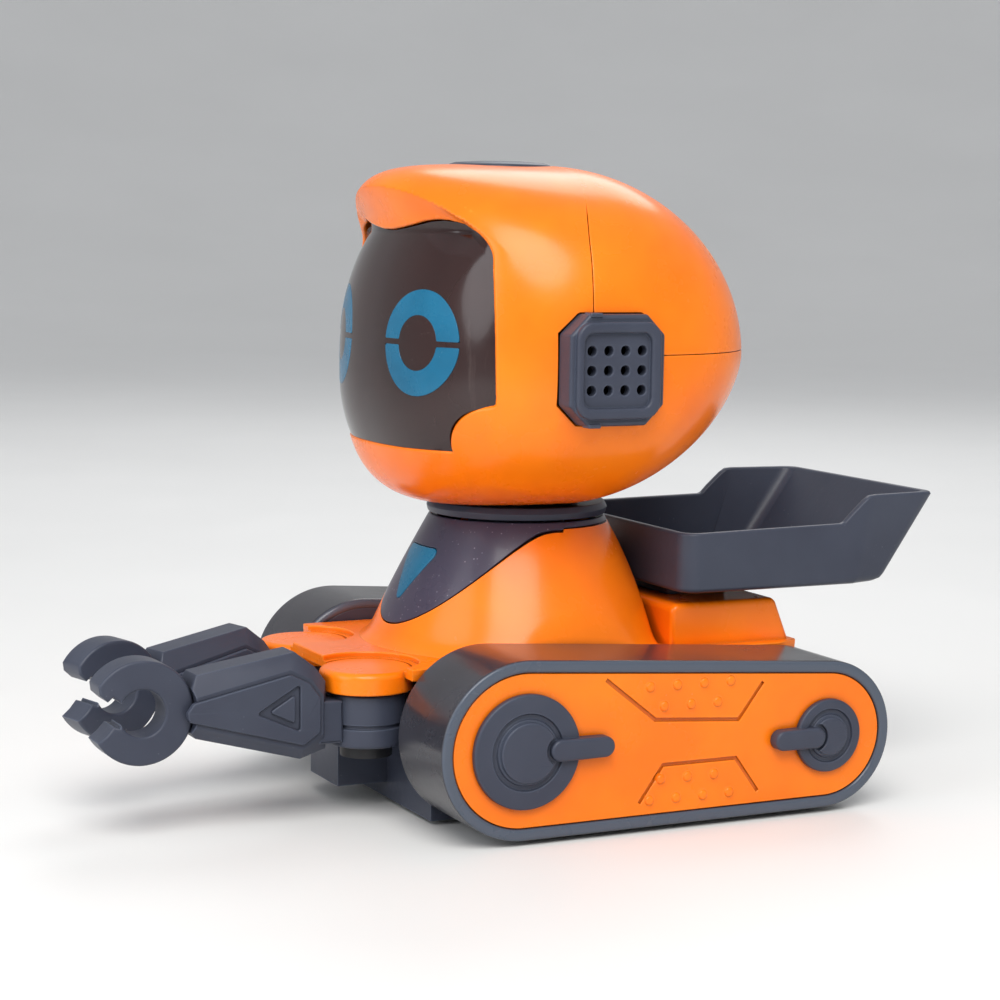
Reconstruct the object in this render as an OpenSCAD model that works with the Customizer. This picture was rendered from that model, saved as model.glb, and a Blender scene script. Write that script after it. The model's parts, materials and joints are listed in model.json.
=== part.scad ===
// Small tracked coding robot for the classroom: turning head with lit eyes, two swinging
// claw arms, a load tray, and a two-wheel drive hidden inside fixed track pods.
// The front faces -Y, the robot's left side is +X and it stands on Z = 0.

/* [Tracks] */
// X of the outer rim of each track pod
pod_outer_x = 35.1; // [34.6:0.1:36]
// Width of each track pod
pod_w = 14.8; // [14.6:0.1:15]
// Radius of the rounded front end of a pod
pod_front_r = 12.2; // [12:0.1:12.4]
// Radius of the rounded rear end of a pod
pod_rear_r = 10.5; // [10.4:0.1:10.8]
// Radius of a drive wheel over its tyre
wheel_r = 7; // [6.9:0.05:7.05]
// Radius of a front roller
roller_r = 5.5; // [5.3:0.1:5.5]

/* [Body] */
// Height of the top of the deck
deck_top = 22; // [21.8:0.1:22.2]
// Height of the top of the motor cover behind the torso
cover_top = 28.2; // [28:0.1:28.4]
// Radius of the torso where it meets the deck
torso_r = 21.5; // [21:0.1:22]
// Radius of the torso under the neck
torso_top_r = 12.6; // [12.4:0.1:13]
// Height of the top of the torso
torso_top = 40.2; // [40.2:0.05:40.3]

/* [Head] */
// Half of the width of the head
head_half_w = 31.2; // [31:0.1:31.4]
// Reach of the head in front of its widest line
head_front = 25.6; // [25.2:0.1:25.6]
// Reach of the head behind its widest line
head_rear = 28.1; // [27.9:0.1:28.4]
// Radius of the touch button on the crown
crown_r = 7.7; // [7.4:0.1:7.8]
// Travel of the crown button
crown_travel = 0.8; // [0.5:0.1:0.9]
// Outer radius of an eye ring
eye_r = 7.4; // [7.2:0.1:7.6]

/* [Arms] */
// Distance of each shoulder from the centre plane
shoulder_x = 11.8; // [11.7:0.1:11.9]
// Distance from a shoulder to the centre of its claw
arm_reach = 32.7; // [31.8:0.1:33]
// Outer radius of a claw
claw_r = 7.05; // [6.9:0.05:7.1]
// Radius of the grip inside a claw
grip_r = 3.1; // [3:0.05:3.2]
// Angle by which the right arm rests turned in
right_rest_turn = 13.5; // [0:0.5:13.5]

/* [Tray] */
// Half of the width of the load tray
tray_half_w = 21; // [20.5:0.1:21.5]
// Thickness of the tray's walls
tray_wall = 1.2; // [1:0.1:1.4]

/* [Hidden] */

// colours
orange_plastic = [1.0, 0.5, 0.08];
dark_plastic = [0.27, 0.31, 0.37];
bib_plastic = [0.3, 0.28, 0.36];
black_lens = [0.05, 0.04, 0.05];
eye_blue = [0.12, 0.5, 0.7];
steel_grey = [0.7, 0.72, 0.74];
brass_gold = [0.8, 0.65, 0.3];
board_green = [0.05, 0.35, 0.2];
rubber_black = [0.08, 0.08, 0.09];
cell_red = [0.75, 0.15, 0.12];
gear_white = [0.9, 0.9, 0.86];

// running clearance between moving round parts, and the gap between fixed parts
run = 0.06;
gap = 0.05;
// overshoot of a cutting tool past the face that it cuts
over = 1;
fine = 64;
small = 32;

// track pods: centres of the two rounded ends as [Y, Z]
front_hub = [-15.4, 12.9];
rear_hub = [31.8, 11.3];
pod_inner_x = pod_outer_x - pod_w;
band_t = 1.7;
pod_wall_t = 1.4;
plate_t = 1.5;
plate_x = pod_outer_x - 0.3;
cap_t = 0.9;

// drive line: axle, idler and motor centres as [Y, Z]
gear_module = 0.5;
pinion_teeth = 9;
big_teeth = 24;
small_teeth = 10;
axle_teeth = 20;
axle_angle = 105;
idler_angle = 130;
function polar(r, a) = [r * cos(a), r * sin(a)];
axle_at = [rear_hub[0], wheel_r];
idler_at = axle_at + polar(gear_module * (axle_teeth + small_teeth) / 2, axle_angle);
motor_at = idler_at + polar(gear_module * (big_teeth + pinion_teeth) / 2, idler_angle);
roller_at = [front_hub[0], roller_r];
axle_r = 1;
idler_pin_r = 0.8;
rotor_r = 0.5;
roller_pin_r = 1.2;
rib_x = 11.9;
rib_t = 1.2;
pinion_x = rib_x + rib_t + 0.4;
big_gear_w = 1.2;
fine_gear_w = 2.2;
wheel_x = 24.5;
wheel_w = 6;
hub_rim_r = wheel_r - 1.3;

// chassis tub
tub_half_w = pod_inner_x - 0.1;
tub_wall = 1.6;
tub_front = -22.4;
tub_rear = 38.4;
tub_low = 0.7;
floor_top = 2.2;
tub_top = 20.2;
deck_t = 1.7;
deck_low = deck_top - deck_t;
door_half_w = 12.4;
door_front = -21;
door_rear = 27;
door_t = 0.8;
door_tab_half_w = 4.5;
door_tab_rear = door_rear + 5;
door_screw_y = door_rear + 2.6;

// shoulders
shoulder_y = -28.5;
barrel_r = 5.5;
barrel_low = 10.7;
barrel_high = 18.1;
lug_r = 6.5;
lug_top = 21.3;
pin_r = 2;

// cells
cell_r = 5.25;
cell_len = 44.5;
cell_x = 5.6;
cell_z = floor_top + cell_r + 0.1;

// head form
head_y = 2;
head_low = 41.8;
head_high = 89.55;
shell_t = 1.7;
neck_cut = 42.1;
side_wide_z = 62;
front_wide_z = 78;
rear_wide_z = 63.6;
section_power = 2.3;
slice_count = 20;
slice_points = 40;
seam_z = 64.4;
ear_y = -1.5;
ear_z = 62.6;
eye_x = 13.2;
eye_z = 65.4;
crown_y = -3.5;
crown_top = 90.1;

// ---- helpers ----

// puts a flat outline drawn in [Y, Z] between two X planes
module across(x0, x1) {
    translate([x0, 0, 0]) rotate([90, 0, 90]) linear_extrude(x1 - x0) children();
}

// puts a flat outline drawn in [X, Z] between two Y planes
module along(y0, y1) {
    translate([0, y1, 0]) rotate([90, 0, 0]) linear_extrude(y1 - y0) children();
}

module rod_x(r, x0, x1, at, facets = fine) {
    across(x0, x1) translate(at) circle(r, $fn = facets);
}

module post(r, z0, z1, x, y, facets = small) {
    translate([x, y, z0]) cylinder(r = r, h = z1 - z0, $fn = facets);
}

module block(lo, hi) {
    translate(lo) cube(hi - lo);
}

module right_side() {
    mirror([1, 0, 0]) children();
}

module both_sides() {
    children();
    right_side() children();
}

// outline of two circles and the band between their outer tangents, drawn a hair inside them
module oblong(c1, r1, c2, r2) {
    tuck = 0.01;
    reach = norm(c2 - c1);
    slope = atan2(c2[1] - c1[1], c2[0] - c1[0]);
    lean = acos((r1 - r2) / reach);
    translate(c1) circle(r1, $fn = 96);
    translate(c2) circle(r2, $fn = 96);
    polygon([c1 + polar(r1 - tuck, slope + lean), c1 + polar(r1 - tuck, slope - lean),
        c2 + polar(r2 - tuck, slope - lean), c2 + polar(r2 - tuck, slope + lean)]);
}

module pod_outline(inset = 0) {
    oblong(front_hub, pod_front_r - inset, rear_hub, pod_rear_r - inset);
}

// involute gear outline: the first tooth is centred on the first axis
function involute(base, t) = base * [cos(t) + t * PI / 180 * sin(t), sin(t) - t * PI / 180 * cos(t)];
function turn2(p, a) = [p[0] * cos(a) - p[1] * sin(a), p[0] * sin(a) + p[1] * cos(a)];
function roll_to(base, r) = r <= base ? 0 : sqrt(pow(r / base, 2) - 1) * 180 / PI;
module gear_outline(teeth) {
    pressure = 25;
    play = 0.07;
    pitch = gear_module * teeth / 2;
    base = pitch * cos(pressure);
    tip = pitch + 0.8 * gear_module;
    root = pitch - 1.15 * gear_module;
    steps = 4;
    spread = tan(pressure) * 180 / PI - pressure;
    half = 90 / teeth + spread - play / pitch * 180 / PI;
    flank = [for (i = [0:steps]) turn2(involute(base, roll_to(base, tip) * i / steps), -half)];
    low = polar(root, -half);
    side = concat([low], flank);
    mirrored = [for (i = [len(side) - 1:-1:0]) [side[i][0], -side[i][1]]];
    polygon([for (k = [0:teeth - 1], p = concat(side, mirrored)) turn2(p, k * 360 / teeth)]);
}

module gear(teeth, at, x0, x1, phase) {
    across(x0, x1) translate(at) rotate(phase) gear_outline(teeth);
}

// ---- track pods ----

module left_track_shell() {
    color(dark_plastic) difference() {
        across(pod_inner_x, pod_outer_x) pod_outline();
        across(pod_inner_x + pod_wall_t, pod_outer_x + over) pod_outline(band_t);
        block([wheel_x - 0.5, axle_at[0] - 7.2, -over], [wheel_x + wheel_w + 0.5, axle_at[0] + 7.2, 6.2]);
        block([wheel_x - 0.5, roller_at[0] - 5.6, -over], [wheel_x + wheel_w + 0.5, roller_at[0] + 5.6, 4.2]);
        rod_x(axle_r + 0.3, pod_inner_x - over, pod_inner_x + pod_wall_t + over, axle_at);
        rod_x(roller_pin_r, pod_inner_x - over, pod_inner_x + pod_wall_t + over, roller_at);
        for (p = pod_screw_at)
            rod_x(screw_r, pod_inner_x - over, pod_inner_x + pod_wall_t + over, p, small);
    }
}

// raised rivets and sunk lines on a track plate
module relief_line(points, w) {
    for (i = [0:len(points) - 2]) {
        step = points[i + 1] - points[i];
        translate(points[i]) rotate(atan2(step[1], step[0]))
            translate([-w / 2, -w / 2]) square([norm(step) + w, w]);
    }
}

upper_frame = [[-4.4, 22.6], [4.1, 15.6], [17.4, 14.6], [21.9, 20.6]];
lower_frame = [[1.4, 3.2], [5.6, 9.2], [17.1, 9.2], [21.3, 3.4]];
rivet_pitch = 4.2;
rivet_rows = [[3.3, 20.3, 4], [5.5, 17.4, 3], [5.2, 7.3, 3], [3.5, 4.4, 4]];

module left_track_plate() {
    groove_w = 0.4;
    groove_deep = 0.35;
    rivet_r = 0.7;
    rivet_proud = 0.25;
    color(orange_plastic) {
        difference() {
            across(plate_x - plate_t, plate_x) pod_outline(band_t + gap);
            across(plate_x - groove_deep, plate_x + over) intersection() {
                pod_outline(band_t + 1);
                union() {
                    relief_line(upper_frame, groove_w);
                    relief_line(lower_frame, groove_w);
                }
            }
            rod_x(cap_stem_front, plate_x - 3, plate_x + over, front_hub);
            rod_x(cap_stem_rear, plate_x - 3, plate_x + over, rear_hub);
        }
        for (row = rivet_rows, i = [0:row[2] - 1])
            rod_x(rivet_r, plate_x - gap, plate_x + rivet_proud, [row[0] + i * rivet_pitch, row[1]], small);
    }
}

cap_stem_front = 3;
cap_stem_rear = 2;

// hub cap: disc with a ring groove, a boss and a short lever
module hub_cap(at, r, boss_r, stem_r, lever_from, lever_to) {
    face = plate_x + gap;
    lever_w = 3;
    difference() {
        union() {
            rod_x(r, face, face + cap_t, at);
            rod_x(boss_r, face, face + cap_t + 0.5, at);
            rod_x(stem_r, plate_x - 3, face + gap, at);
        }
        across(face + cap_t - 0.3, face + cap_t + over) translate(at) difference() {
            circle(boss_r + 1.1, $fn = fine);
            circle(boss_r + 0.5, $fn = fine);
        }
        rod_x(lever_w / 2 + 0.5, face + cap_t, face + 3, at + [lever_from, 0]);
    }
    across(face, face + cap_t + 0.9) translate(at) {
        left = min(lever_from, lever_to);
        right = max(lever_from, lever_to);
        translate([left, -lever_w / 2]) square([right - left, lever_w]);
        translate([left, 0]) circle(lever_w / 2, $fn = small);
        translate([right, 0]) circle(lever_w / 2, $fn = small);
    }
}

module left_front_hub_cap() {
    color(dark_plastic) hub_cap(front_hub, 7.8, 4.1, cap_stem_front, 4.6, 11.2);
}

module left_rear_hub_cap() {
    color(dark_plastic) hub_cap(rear_hub, 5.2, 2.7, cap_stem_rear, -2.6, -7.8);
}

// ---- wheels and drive line ----

module left_wheel_hub() {
    color(gear_white) difference() {
        rod_x(hub_rim_r, wheel_x, wheel_x + wheel_w, axle_at);
        rod_x(axle_r, wheel_x - over, wheel_x + wheel_w + over, axle_at);
        across(wheel_x + wheel_w - 1.5, wheel_x + wheel_w + over) translate(axle_at) difference() {
            circle(hub_rim_r - 1, $fn = fine);
            circle(axle_r + 1, $fn = fine);
        }
    }
}

module left_wheel_tyre() {
    color(rubber_black) difference() {
        rod_x(wheel_r, wheel_x, wheel_x + wheel_w, axle_at);
        rod_x(hub_rim_r, wheel_x - over, wheel_x + wheel_w + over, axle_at);
        for (x = [1:1.5:wheel_w - 1]) rotate_extrude_x(wheel_r - 0.3, wheel_r + over, wheel_x + x - 0.2, 0.4);
    }
}

// ring about the axle, used for the grooves of the tyre
module rotate_extrude_x(r0, r1, x0, w) {
    across(x0, x0 + w) translate(axle_at) difference() {
        circle(r1, $fn = fine);
        circle(r0, $fn = fine);
    }
}

module left_axle() {
    color(steel_grey) rod_x(axle_r, rib_x - 0.6, wheel_x + wheel_w + 0.6, axle_at);
}

module left_axle_gear() {
    x0 = pinion_x + big_gear_w + 0.3;
    color(gear_white) difference() {
        gear(axle_teeth, axle_at, x0, x0 + fine_gear_w - 0.4, axle_angle);
        rod_x(axle_r, x0 - over, x0 + fine_gear_w + over, axle_at);
    }
}

module left_idler_gear() {
    x0 = pinion_x;
    x1 = x0 + big_gear_w;
    color(gear_white) difference() {
        union() {
            gear(big_teeth, idler_at, x0, x1, idler_angle);
            gear(small_teeth, idler_at, x1 - gap, x1 + fine_gear_w + 0.2, axle_angle + 180 + 180 / small_teeth);
        }
        rod_x(idler_pin_r + run, x0 - over, x1 + fine_gear_w + over, idler_at);
    }
}

module left_pinion() {
    color(brass_gold) difference() {
        gear(pinion_teeth, motor_at, pinion_x - 0.1, pinion_x + big_gear_w + 0.1,
            idler_angle + 180 + 180 / pinion_teeth);
        rod_x(rotor_r, pinion_x - over, pinion_x + 3, motor_at, small);
    }
}

module left_motor() {
    can_r = 4;
    front = rib_x - gap;
    color(steel_grey) difference() {
        union() {
            rod_x(can_r, 1.2, front, motor_at);
            rod_x(1.4, front - gap, front + rib_t, motor_at, small);
        }
        rod_x(rotor_r + run, 4, front + rib_t + over, motor_at, small);
    }
}

module left_motor_rotor() {
    color(steel_grey) rod_x(rotor_r, 4.5, pinion_x + big_gear_w + 0.5, motor_at, small);
}

module idler_pins() {
    color(steel_grey) both_sides()
        rod_x(idler_pin_r, rib_x - 0.5, tub_half_w - 0.4, idler_at, small);
}

module left_front_roller() {
    color(dark_plastic) difference() {
        rod_x(roller_r, wheel_x, wheel_x + wheel_w, roller_at);
        rod_x(roller_pin_r + run, wheel_x - over, wheel_x + wheel_w + over, roller_at);
        for (side = [0, 1]) across(wheel_x + side * (wheel_w - 1) - (1 - side) * over,
            wheel_x + side * (wheel_w + over) + (1 - side)) translate(roller_at) difference() {
                circle(roller_r - 1.2, $fn = fine);
                circle(roller_pin_r + 1, $fn = fine);
            }
    }
}

module roller_pins() {
    color(steel_grey) both_sides() {
        rod_x(roller_pin_r, pod_inner_x + 0.1, wheel_x + wheel_w + 0.4, roller_at);
        rod_x(roller_pin_r + 0.8, wheel_x + wheel_w + 0.3, wheel_x + wheel_w + 1, roller_at);
    }
}

// ---- chassis, deck and motor cover ----

screw_r = 1;
deck_screw_x = tub_half_w - tub_wall - 2.2;
deck_screw_y = [-18.6, 18.2];
board_screw = [12.8, 12.2];
board_low = 14.4;
board_t = 1.2;
pod_screw_at = [[-8, 15.6], [9, 15.6]];

module deck_screw_posts() {
    for (y = deck_screw_y) post(2.4, floor_top - gap, tub_top, deck_screw_x, y);
}

module board_posts() {
    for (y = [-board_screw[1], board_screw[1]]) post(1.3, floor_top - gap, board_low, board_screw[0], y);
}

module chassis_base() {
    nose_half_w = 5.2;
    nose_front = -30;
    nose_top = 9.6;
    color(dark_plastic) difference() {
        union() {
            difference() {
                union() {
                    block([-tub_half_w, tub_front, tub_low], [tub_half_w, tub_rear, tub_top]);
                    block([-nose_half_w, nose_front, 3], [nose_half_w, tub_front + over, nose_top]);
                }
                block([-tub_half_w + tub_wall, tub_front + tub_wall, floor_top],
                    [tub_half_w - tub_wall, tub_rear - tub_wall, tub_top + over]);
                block([-nose_half_w + 1.2, nose_front + 1.2, 3 - over],
                    [nose_half_w - 1.2, tub_front - 0.4, nose_top - 1.2]);
                // roofline falls under the slanted rear of the motor cover
                block([-tub_half_w - over, tub_rear - 1.2, tub_top - 0.8],
                    [tub_half_w + over, tub_rear + over, tub_top + over]);
            }
            both_sides() {
                deck_screw_posts();
                board_posts();
                block([rib_x, 21, floor_top - gap], [rib_x + rib_t, tub_rear - tub_wall + gap, deck_low - gap]);
                block([rib_x, 21, deck_low - over], [rib_x + rib_t, 33, 24]);
            }
            block([-door_half_w, door_front, floor_top - gap], [door_half_w, door_front + 0.8, 12]);
            block([-rib_x - gap, door_rear - 0.4, floor_top - gap], [rib_x + gap, door_rear + 0.4, 12]);
            post(2.2, floor_top - gap, floor_top + 1.8, 0, door_screw_y);
        }
        // battery opening with a ledge for the door
        block([-door_half_w + 1, door_front + 1, tub_low - over], [door_half_w - 1, door_rear - 1, floor_top + over]);
        block([-door_half_w, door_front, tub_low - over], [door_half_w, door_rear, tub_low + door_t]);
        block([-door_tab_half_w, door_rear - over, tub_low - over], [door_tab_half_w, door_tab_rear, tub_low + door_t]);
        post(screw_r, tub_low, floor_top + 1.2, 0, door_screw_y);
        both_sides() {
            for (y = deck_screw_y) {
                post(screw_r + gap, tub_low - over, tub_top + over, deck_screw_x, y);
                post(2, tub_low - over, tub_low + 1.4, deck_screw_x, y);
            }
            for (y = [-board_screw[1], board_screw[1]]) post(0.7, floor_top + 6, board_low + over, board_screw[0], y);
            for (p = pod_screw_at)
                rod_x(screw_r + gap, tub_half_w - tub_wall - over, tub_half_w + over, p, small);
            rod_x(axle_r + run, rib_x - over, tub_half_w + over, axle_at);
            rod_x(idler_pin_r, rib_x - over, tub_half_w - 0.4, idler_at, small);
            rod_x(1.4, rib_x - over, rib_x + rib_t + over, motor_at, small);
            // pockets in the floor and the rear wall that clear the axle gear
            block([pinion_x + big_gear_w, axle_at[0] - 4.6, tub_low + 0.5],
                [pinion_x + big_gear_w + fine_gear_w + 0.3, tub_rear - tub_wall, floor_top + over]);
            block([pinion_x + big_gear_w, axle_at[0], floor_top],
                [pinion_x + big_gear_w + fine_gear_w + 0.3, tub_rear - tub_wall + 0.6, 2 * axle_at[1]]);
            // clearance of the shoulder barrel and of the lug above it
            post(barrel_r + 0.4, tub_low - over, tub_top + over, shoulder_x, shoulder_y, fine);
            post(lug_r + 0.15, barrel_high, tub_top + over, shoulder_x, shoulder_y, fine);
        }
        block([-switch_slot, tub_rear - tub_wall - over, switch_z - 1.2],
            [switch_slot, tub_rear + over, switch_z + 1.2]);
    }
}

cover_half_w = 18;
cover_front = 16.1;
cover_rear_top = 34;
cover_rear_low = 36.6;
cover_wall = 1.2;

module cover_side(inset) {
    polygon([[cover_front + inset, deck_low - inset * 2], [cover_front + inset, cover_top - inset],
        [cover_rear_top - inset, cover_top - inset], [cover_rear_low - inset, deck_low - inset * 2]]);
}

module deck_cover() {
    deck_front = -32.5;
    deck_rear = 37;
    color(orange_plastic) difference() {
        union() {
            difference() {
                block([-tub_half_w, deck_front, deck_low], [tub_half_w, deck_rear, deck_top]);
                both_sides() post(lug_r + 0.7, lug_top, deck_top + over, shoulder_x, shoulder_y, fine);
            }
            both_sides() post(lug_r, barrel_high + 0.15, lug_top, shoulder_x, shoulder_y, fine);
            across(-cover_half_w, cover_half_w) cover_side(0);
        }
        across(-cover_half_w + cover_wall, cover_half_w - cover_wall) cover_side(cover_wall);
        // wire opening under the torso
        post(9, deck_low - over, deck_top + over, 0, 0, fine);
        both_sides() {
            for (y = deck_screw_y) post(screw_r, deck_low - over, deck_top - 0.4, deck_screw_x, y);
            post(pin_r, barrel_high - over, lug_top - 0.6, shoulder_x, shoulder_y, fine);
            post(tray_peg_r, cover_top - cover_wall - over, cover_top + over, tray_peg_x, tray_peg_y);
        }
        // outer front corners follow the shoulder lugs
        both_sides() difference() {
            block([shoulder_x, deck_front - over, deck_low - over],
                [tub_half_w + over, shoulder_y + 3, deck_top + over]);
            post(lug_r, deck_low - 2 * over, deck_top + 2 * over, shoulder_x, shoulder_y, fine);
        }
    }
}

module battery_door() {
    color(dark_plastic) difference() {
        union() {
            block([-door_half_w + gap, door_front + gap, tub_low],
                [door_half_w - gap, door_rear - gap, tub_low + door_t - gap]);
            block([-door_tab_half_w + gap, door_rear - over, tub_low],
                [door_tab_half_w - gap, door_tab_rear - gap, tub_low + door_t - gap]);
        }
        for (i = [0:5]) block([-8, -16 + i * 2, tub_low - over], [8, -15 + i * 2, tub_low + 0.3]);
        post(screw_r + gap, tub_low - over, tub_low + door_t + over, 0, door_screw_y);
        post(2, tub_low - over, tub_low + 0.4, 0, door_screw_y);
    }
}

module battery_door_screw() {
    color(steel_grey) {
        post(1.9, tub_low + 0.05, tub_low + 0.4, 0, door_screw_y);
        post(screw_r, tub_low + 0.35, floor_top + 1, 0, door_screw_y);
    }
}

// the two cells and their contacts are the same, turned half a turn about the middle of the bay
bay_front = door_front + 0.8;
bay_rear = door_rear - 0.4;
contact_t = 0.3;
nub_h = 0.3;
module both_cells() {
    mid = (bay_front + bay_rear) / 2;
    for (turn = [0, 180]) translate([0, mid, 0]) rotate(turn) translate([-cell_x, -mid, cell_z]) children();
}

module batteries() {
    color(cell_red) both_cells() translate([0, bay_front + contact_t + nub_h, 0]) rotate([-90, 0, 0]) {
        cylinder(r = cell_r, h = cell_len - 0.8, $fn = fine);
        translate([0, 0, -nub_h]) cylinder(r = 1.9, h = nub_h + gap, $fn = small);
    }
}

module battery_contacts() {
    room = bay_rear - bay_front - 2 * contact_t - nub_h - (cell_len - 0.8);
    color(steel_grey) {
        both_cells() {
            translate([0, bay_rear - contact_t, 0]) rotate([90, 0, 0]) contact_spring(room);
            block([-4.4, bay_front, -4.4], [4.4, bay_front + contact_t, 4]);
            block([-4.4, bay_rear - contact_t, -4.4], [4.4, bay_rear, 4]);
        }
        block([-cell_x, bay_rear - contact_t, cell_z - 4.4], [cell_x, bay_rear, cell_z + 4]);
    }
}

// conical spring of touching turns between a contact plate and a cell
module contact_spring(length) {
    turns = 3;
    wire_r = length / turns / 2 + 0.01;
    for (i = [0:turns - 1]) translate([0, 0, (2 * i + 1) * length / turns / 2 - 0.02])
        rotate_extrude($fn = small) translate([3.2 - i * 0.5, 0]) circle(wire_r, $fn = 16);
}

module main_board() {
    board_half = [14.2, 14];
    color(board_green) difference() {
        union() {
            block([-board_half[0], -board_half[1], board_low + gap], [board_half[0], board_half[1], board_low + board_t]);
            block([-4, -4, board_low + board_t - gap], [3, 3, board_low + board_t + 1]);
            block([5.5, -8, board_low + board_t - gap], [9.5, -4, board_low + board_t + 1.4]);
            block([-11, -2, board_low + board_t - gap], [-8, 6, board_low + board_t + 3]);
            for (y = [-10, 8]) block([-3, y, board_low + board_t - gap], [6, y + 2.5, board_low + board_t + 3.2]);
        }
        both_sides() for (y = [-board_screw[1], board_screw[1]])
            post(screw_r, board_low - over, board_low + board_t + over, board_screw[0], y);
    }
}

module line_sensor() {
    color(board_green) {
        block([-3.6, -28.4, 7.2], [3.6, -23, 8.3]);
        for (x = [-2.2, 0, 2.2]) post(0.9, 4.6, 7.25, x, -26);
    }
}

switch_z = 12;
switch_slot = 3;
switch_travel = 2;

module power_switch_body() {
    color(black_lens) difference() {
        block([-5, 33.4, switch_z - 2.6], [5, tub_rear - tub_wall - gap, switch_z + 2.6]);
        block([-switch_slot, 35.2, switch_z - 1.2], [switch_slot, tub_rear, switch_z + 1.2]);
    }
}

module power_switch_knob() {
    mid = -switch_travel / 2;
    color(orange_plastic) {
        block([mid - 1.2, 35.4, switch_z - 1], [mid + 1.2, tub_rear + 1.2, switch_z + 1]);
        for (x = [-0.7, 0.3]) block([mid + x, tub_rear + 1, switch_z - 1], [mid + x + 0.4, tub_rear + 1.5, switch_z + 1]);
    }
}

module body_screws() {
    color(steel_grey) both_sides() {
        for (y = deck_screw_y) {
            post(1.9, tub_low + 0.2, tub_low + 1.4, deck_screw_x, y);
            post(screw_r, tub_low + 1.3, deck_top - 0.5, deck_screw_x, y);
        }
        for (y = [-board_screw[1], board_screw[1]]) {
            post(1.4, board_low + board_t, board_low + board_t + 0.8, board_screw[0], y);
            post(0.7, floor_top + 6.2, board_low + board_t + gap, board_screw[0], y);
        }
        for (p = pod_screw_at) {
            rod_x(1.9, tub_half_w - tub_wall - 1, tub_half_w - tub_wall, p, small);
            rod_x(screw_r, tub_half_w - tub_wall - gap, pod_inner_x + pod_wall_t + 0.6, p, small);
        }
    }
}

// ---- torso ----

// radius of the bell-shaped torso at a height
function torso_at(z) = let (t = max(0, z - deck_top) / (torso_top - deck_top))
    torso_r - (torso_r - torso_top_r) * pow(t, 1.15);

module bell(inset, low, high) {
    steps = 9;
    rotate_extrude($fn = 96) polygon(concat([[0, low]],
        [for (i = [0:steps]) let (z = low + (high - low) * i / steps) [torso_at(z) - inset, z]], [[0, high]]));
}

bib_low_r = 13.25;
bib_mid_z = 38.3;
bib_t = 0.9;
torso_back = 16;

// region of the torso that the bib covers, grown by an amount
module bib_region(grow) {
    along(-torso_r - over, 0) translate([0, bib_mid_z]) circle(bib_low_r + grow, $fn = 96);
    block([-torso_r, -torso_r, bib_mid_z - grow], [torso_r, 3 + grow, torso_top + over]);
    block([-torso_r, -torso_r, 39.2 - grow], [torso_r, torso_r, torso_top + over]);
}

module torso_body(inset) {
    intersection() {
        bell(inset, deck_top, torso_top);
        block([-tub_half_w + inset, -torso_r - over, deck_top - over], [tub_half_w - inset, torso_back - inset, torso_top + over]);
    }
}

module torso_shell() {
    wall = 2.2;
    color(orange_plastic) difference() {
        torso_body(0);
        intersection() {
            torso_body(wall);
            block([-torso_r, -torso_r, deck_top - over], [torso_r, torso_r, 37.4]);
        }
        difference() {
            bib_region(gap);
            bell(bib_t + gap, deck_top - over, 39.2);
        }
        post(spigot_r + run, 36, torso_top + over, 0, 0, fine);
    }
}

module chest_bib() {
    color(bib_plastic) difference() {
        intersection() {
            torso_body(0);
            bib_region(0);
        }
        bell(bib_t, deck_top - over, 39.25);
        post(spigot_r + 0.3, 39, torso_top + over, 0, 0, fine);
        along(-torso_r, 0) light_outline(gap);
    }
}

// rounded triangle of the status light
module light_outline(grow) {
    hull() for (p = [[-3.4, 35], [0, 29.4], [3.4, 35]]) translate(p) circle(0.9 + grow, $fn = small);
}

module chest_light() {
    color(eye_blue) difference() {
        intersection() {
            bell(-0.25, deck_top, torso_top);
            along(-torso_r, 0) light_outline(0);
        }
        bell(bib_t - 0.1, deck_top - over, torso_top + over);
    }
}

// ---- tray ----

tray_front = 16.3;
tray_low = 30;
tray_peg_r = 2;
tray_peg_x = 8;
tray_peg_y = 25;

module tray_side(inset, lift) {
    polygon([[tray_front + inset, tray_low + inset], [50 - inset, tray_low + inset],
        [59.4 - inset + lift * 0.7, 43 + lift], [47.8 - inset, 43 + lift],
        [43 - inset, 39 + lift], [tray_front + inset, 38.6 + lift]]);
}

module tray_plan(inset) {
    corner = 3.4 - inset;
    front = tray_front + inset + corner;
    half = tray_half_w - inset - corner;
    for (side = [-1, 1]) translate([side * half, front]) circle(corner, $fn = fine);
    translate([-half, front - corner]) square([2 * half, corner + over]);
    polygon([[-half - corner, front], [half + corner, front], [half + corner, 47],
        [tray_half_w - 1.3 - inset, 60], [inset + 1.3 - tray_half_w, 60], [-half - corner, 47]]);
}

module tray() {
    pad_half = [10, 5];
    color(dark_plastic) {
        difference() {
            intersection() {
                across(-tray_half_w, tray_half_w) tray_side(0, 0);
                translate([0, 0, tray_low]) linear_extrude(20) tray_plan(0);
            }
            intersection() {
                across(-tray_half_w, tray_half_w) tray_side(tray_wall, 4);
                translate([0, 0, tray_low + tray_wall]) linear_extrude(20) tray_plan(tray_wall);
            }
        }
        block([-pad_half[0], tray_peg_y - pad_half[1], cover_top + gap],
            [pad_half[0], tray_peg_y + pad_half[1], tray_low + gap]);
        both_sides() post(tray_peg_r, cover_top - cover_wall, tray_low + gap, tray_peg_x, tray_peg_y);
    }
}

// ---- arms, drawn with the shoulder axis on Z and reaching along -Y ----

claw_z = 17.8;
claw_half_t = 2.4;

module to_shoulder(turn_in) {
    translate([shoulder_x, shoulder_y, 0]) rotate(-turn_in) children();
}

module barrel() {
    rotate_extrude($fn = fine) polygon([[pin_r + run, barrel_low], [barrel_r, barrel_low], [barrel_r, 13.4],
        [barrel_r - 0.3, 13.45], [barrel_r - 0.3, 13.85], [barrel_r, 13.9], [barrel_r, barrel_high],
        [pin_r + run, barrel_high]]);
}

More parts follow.
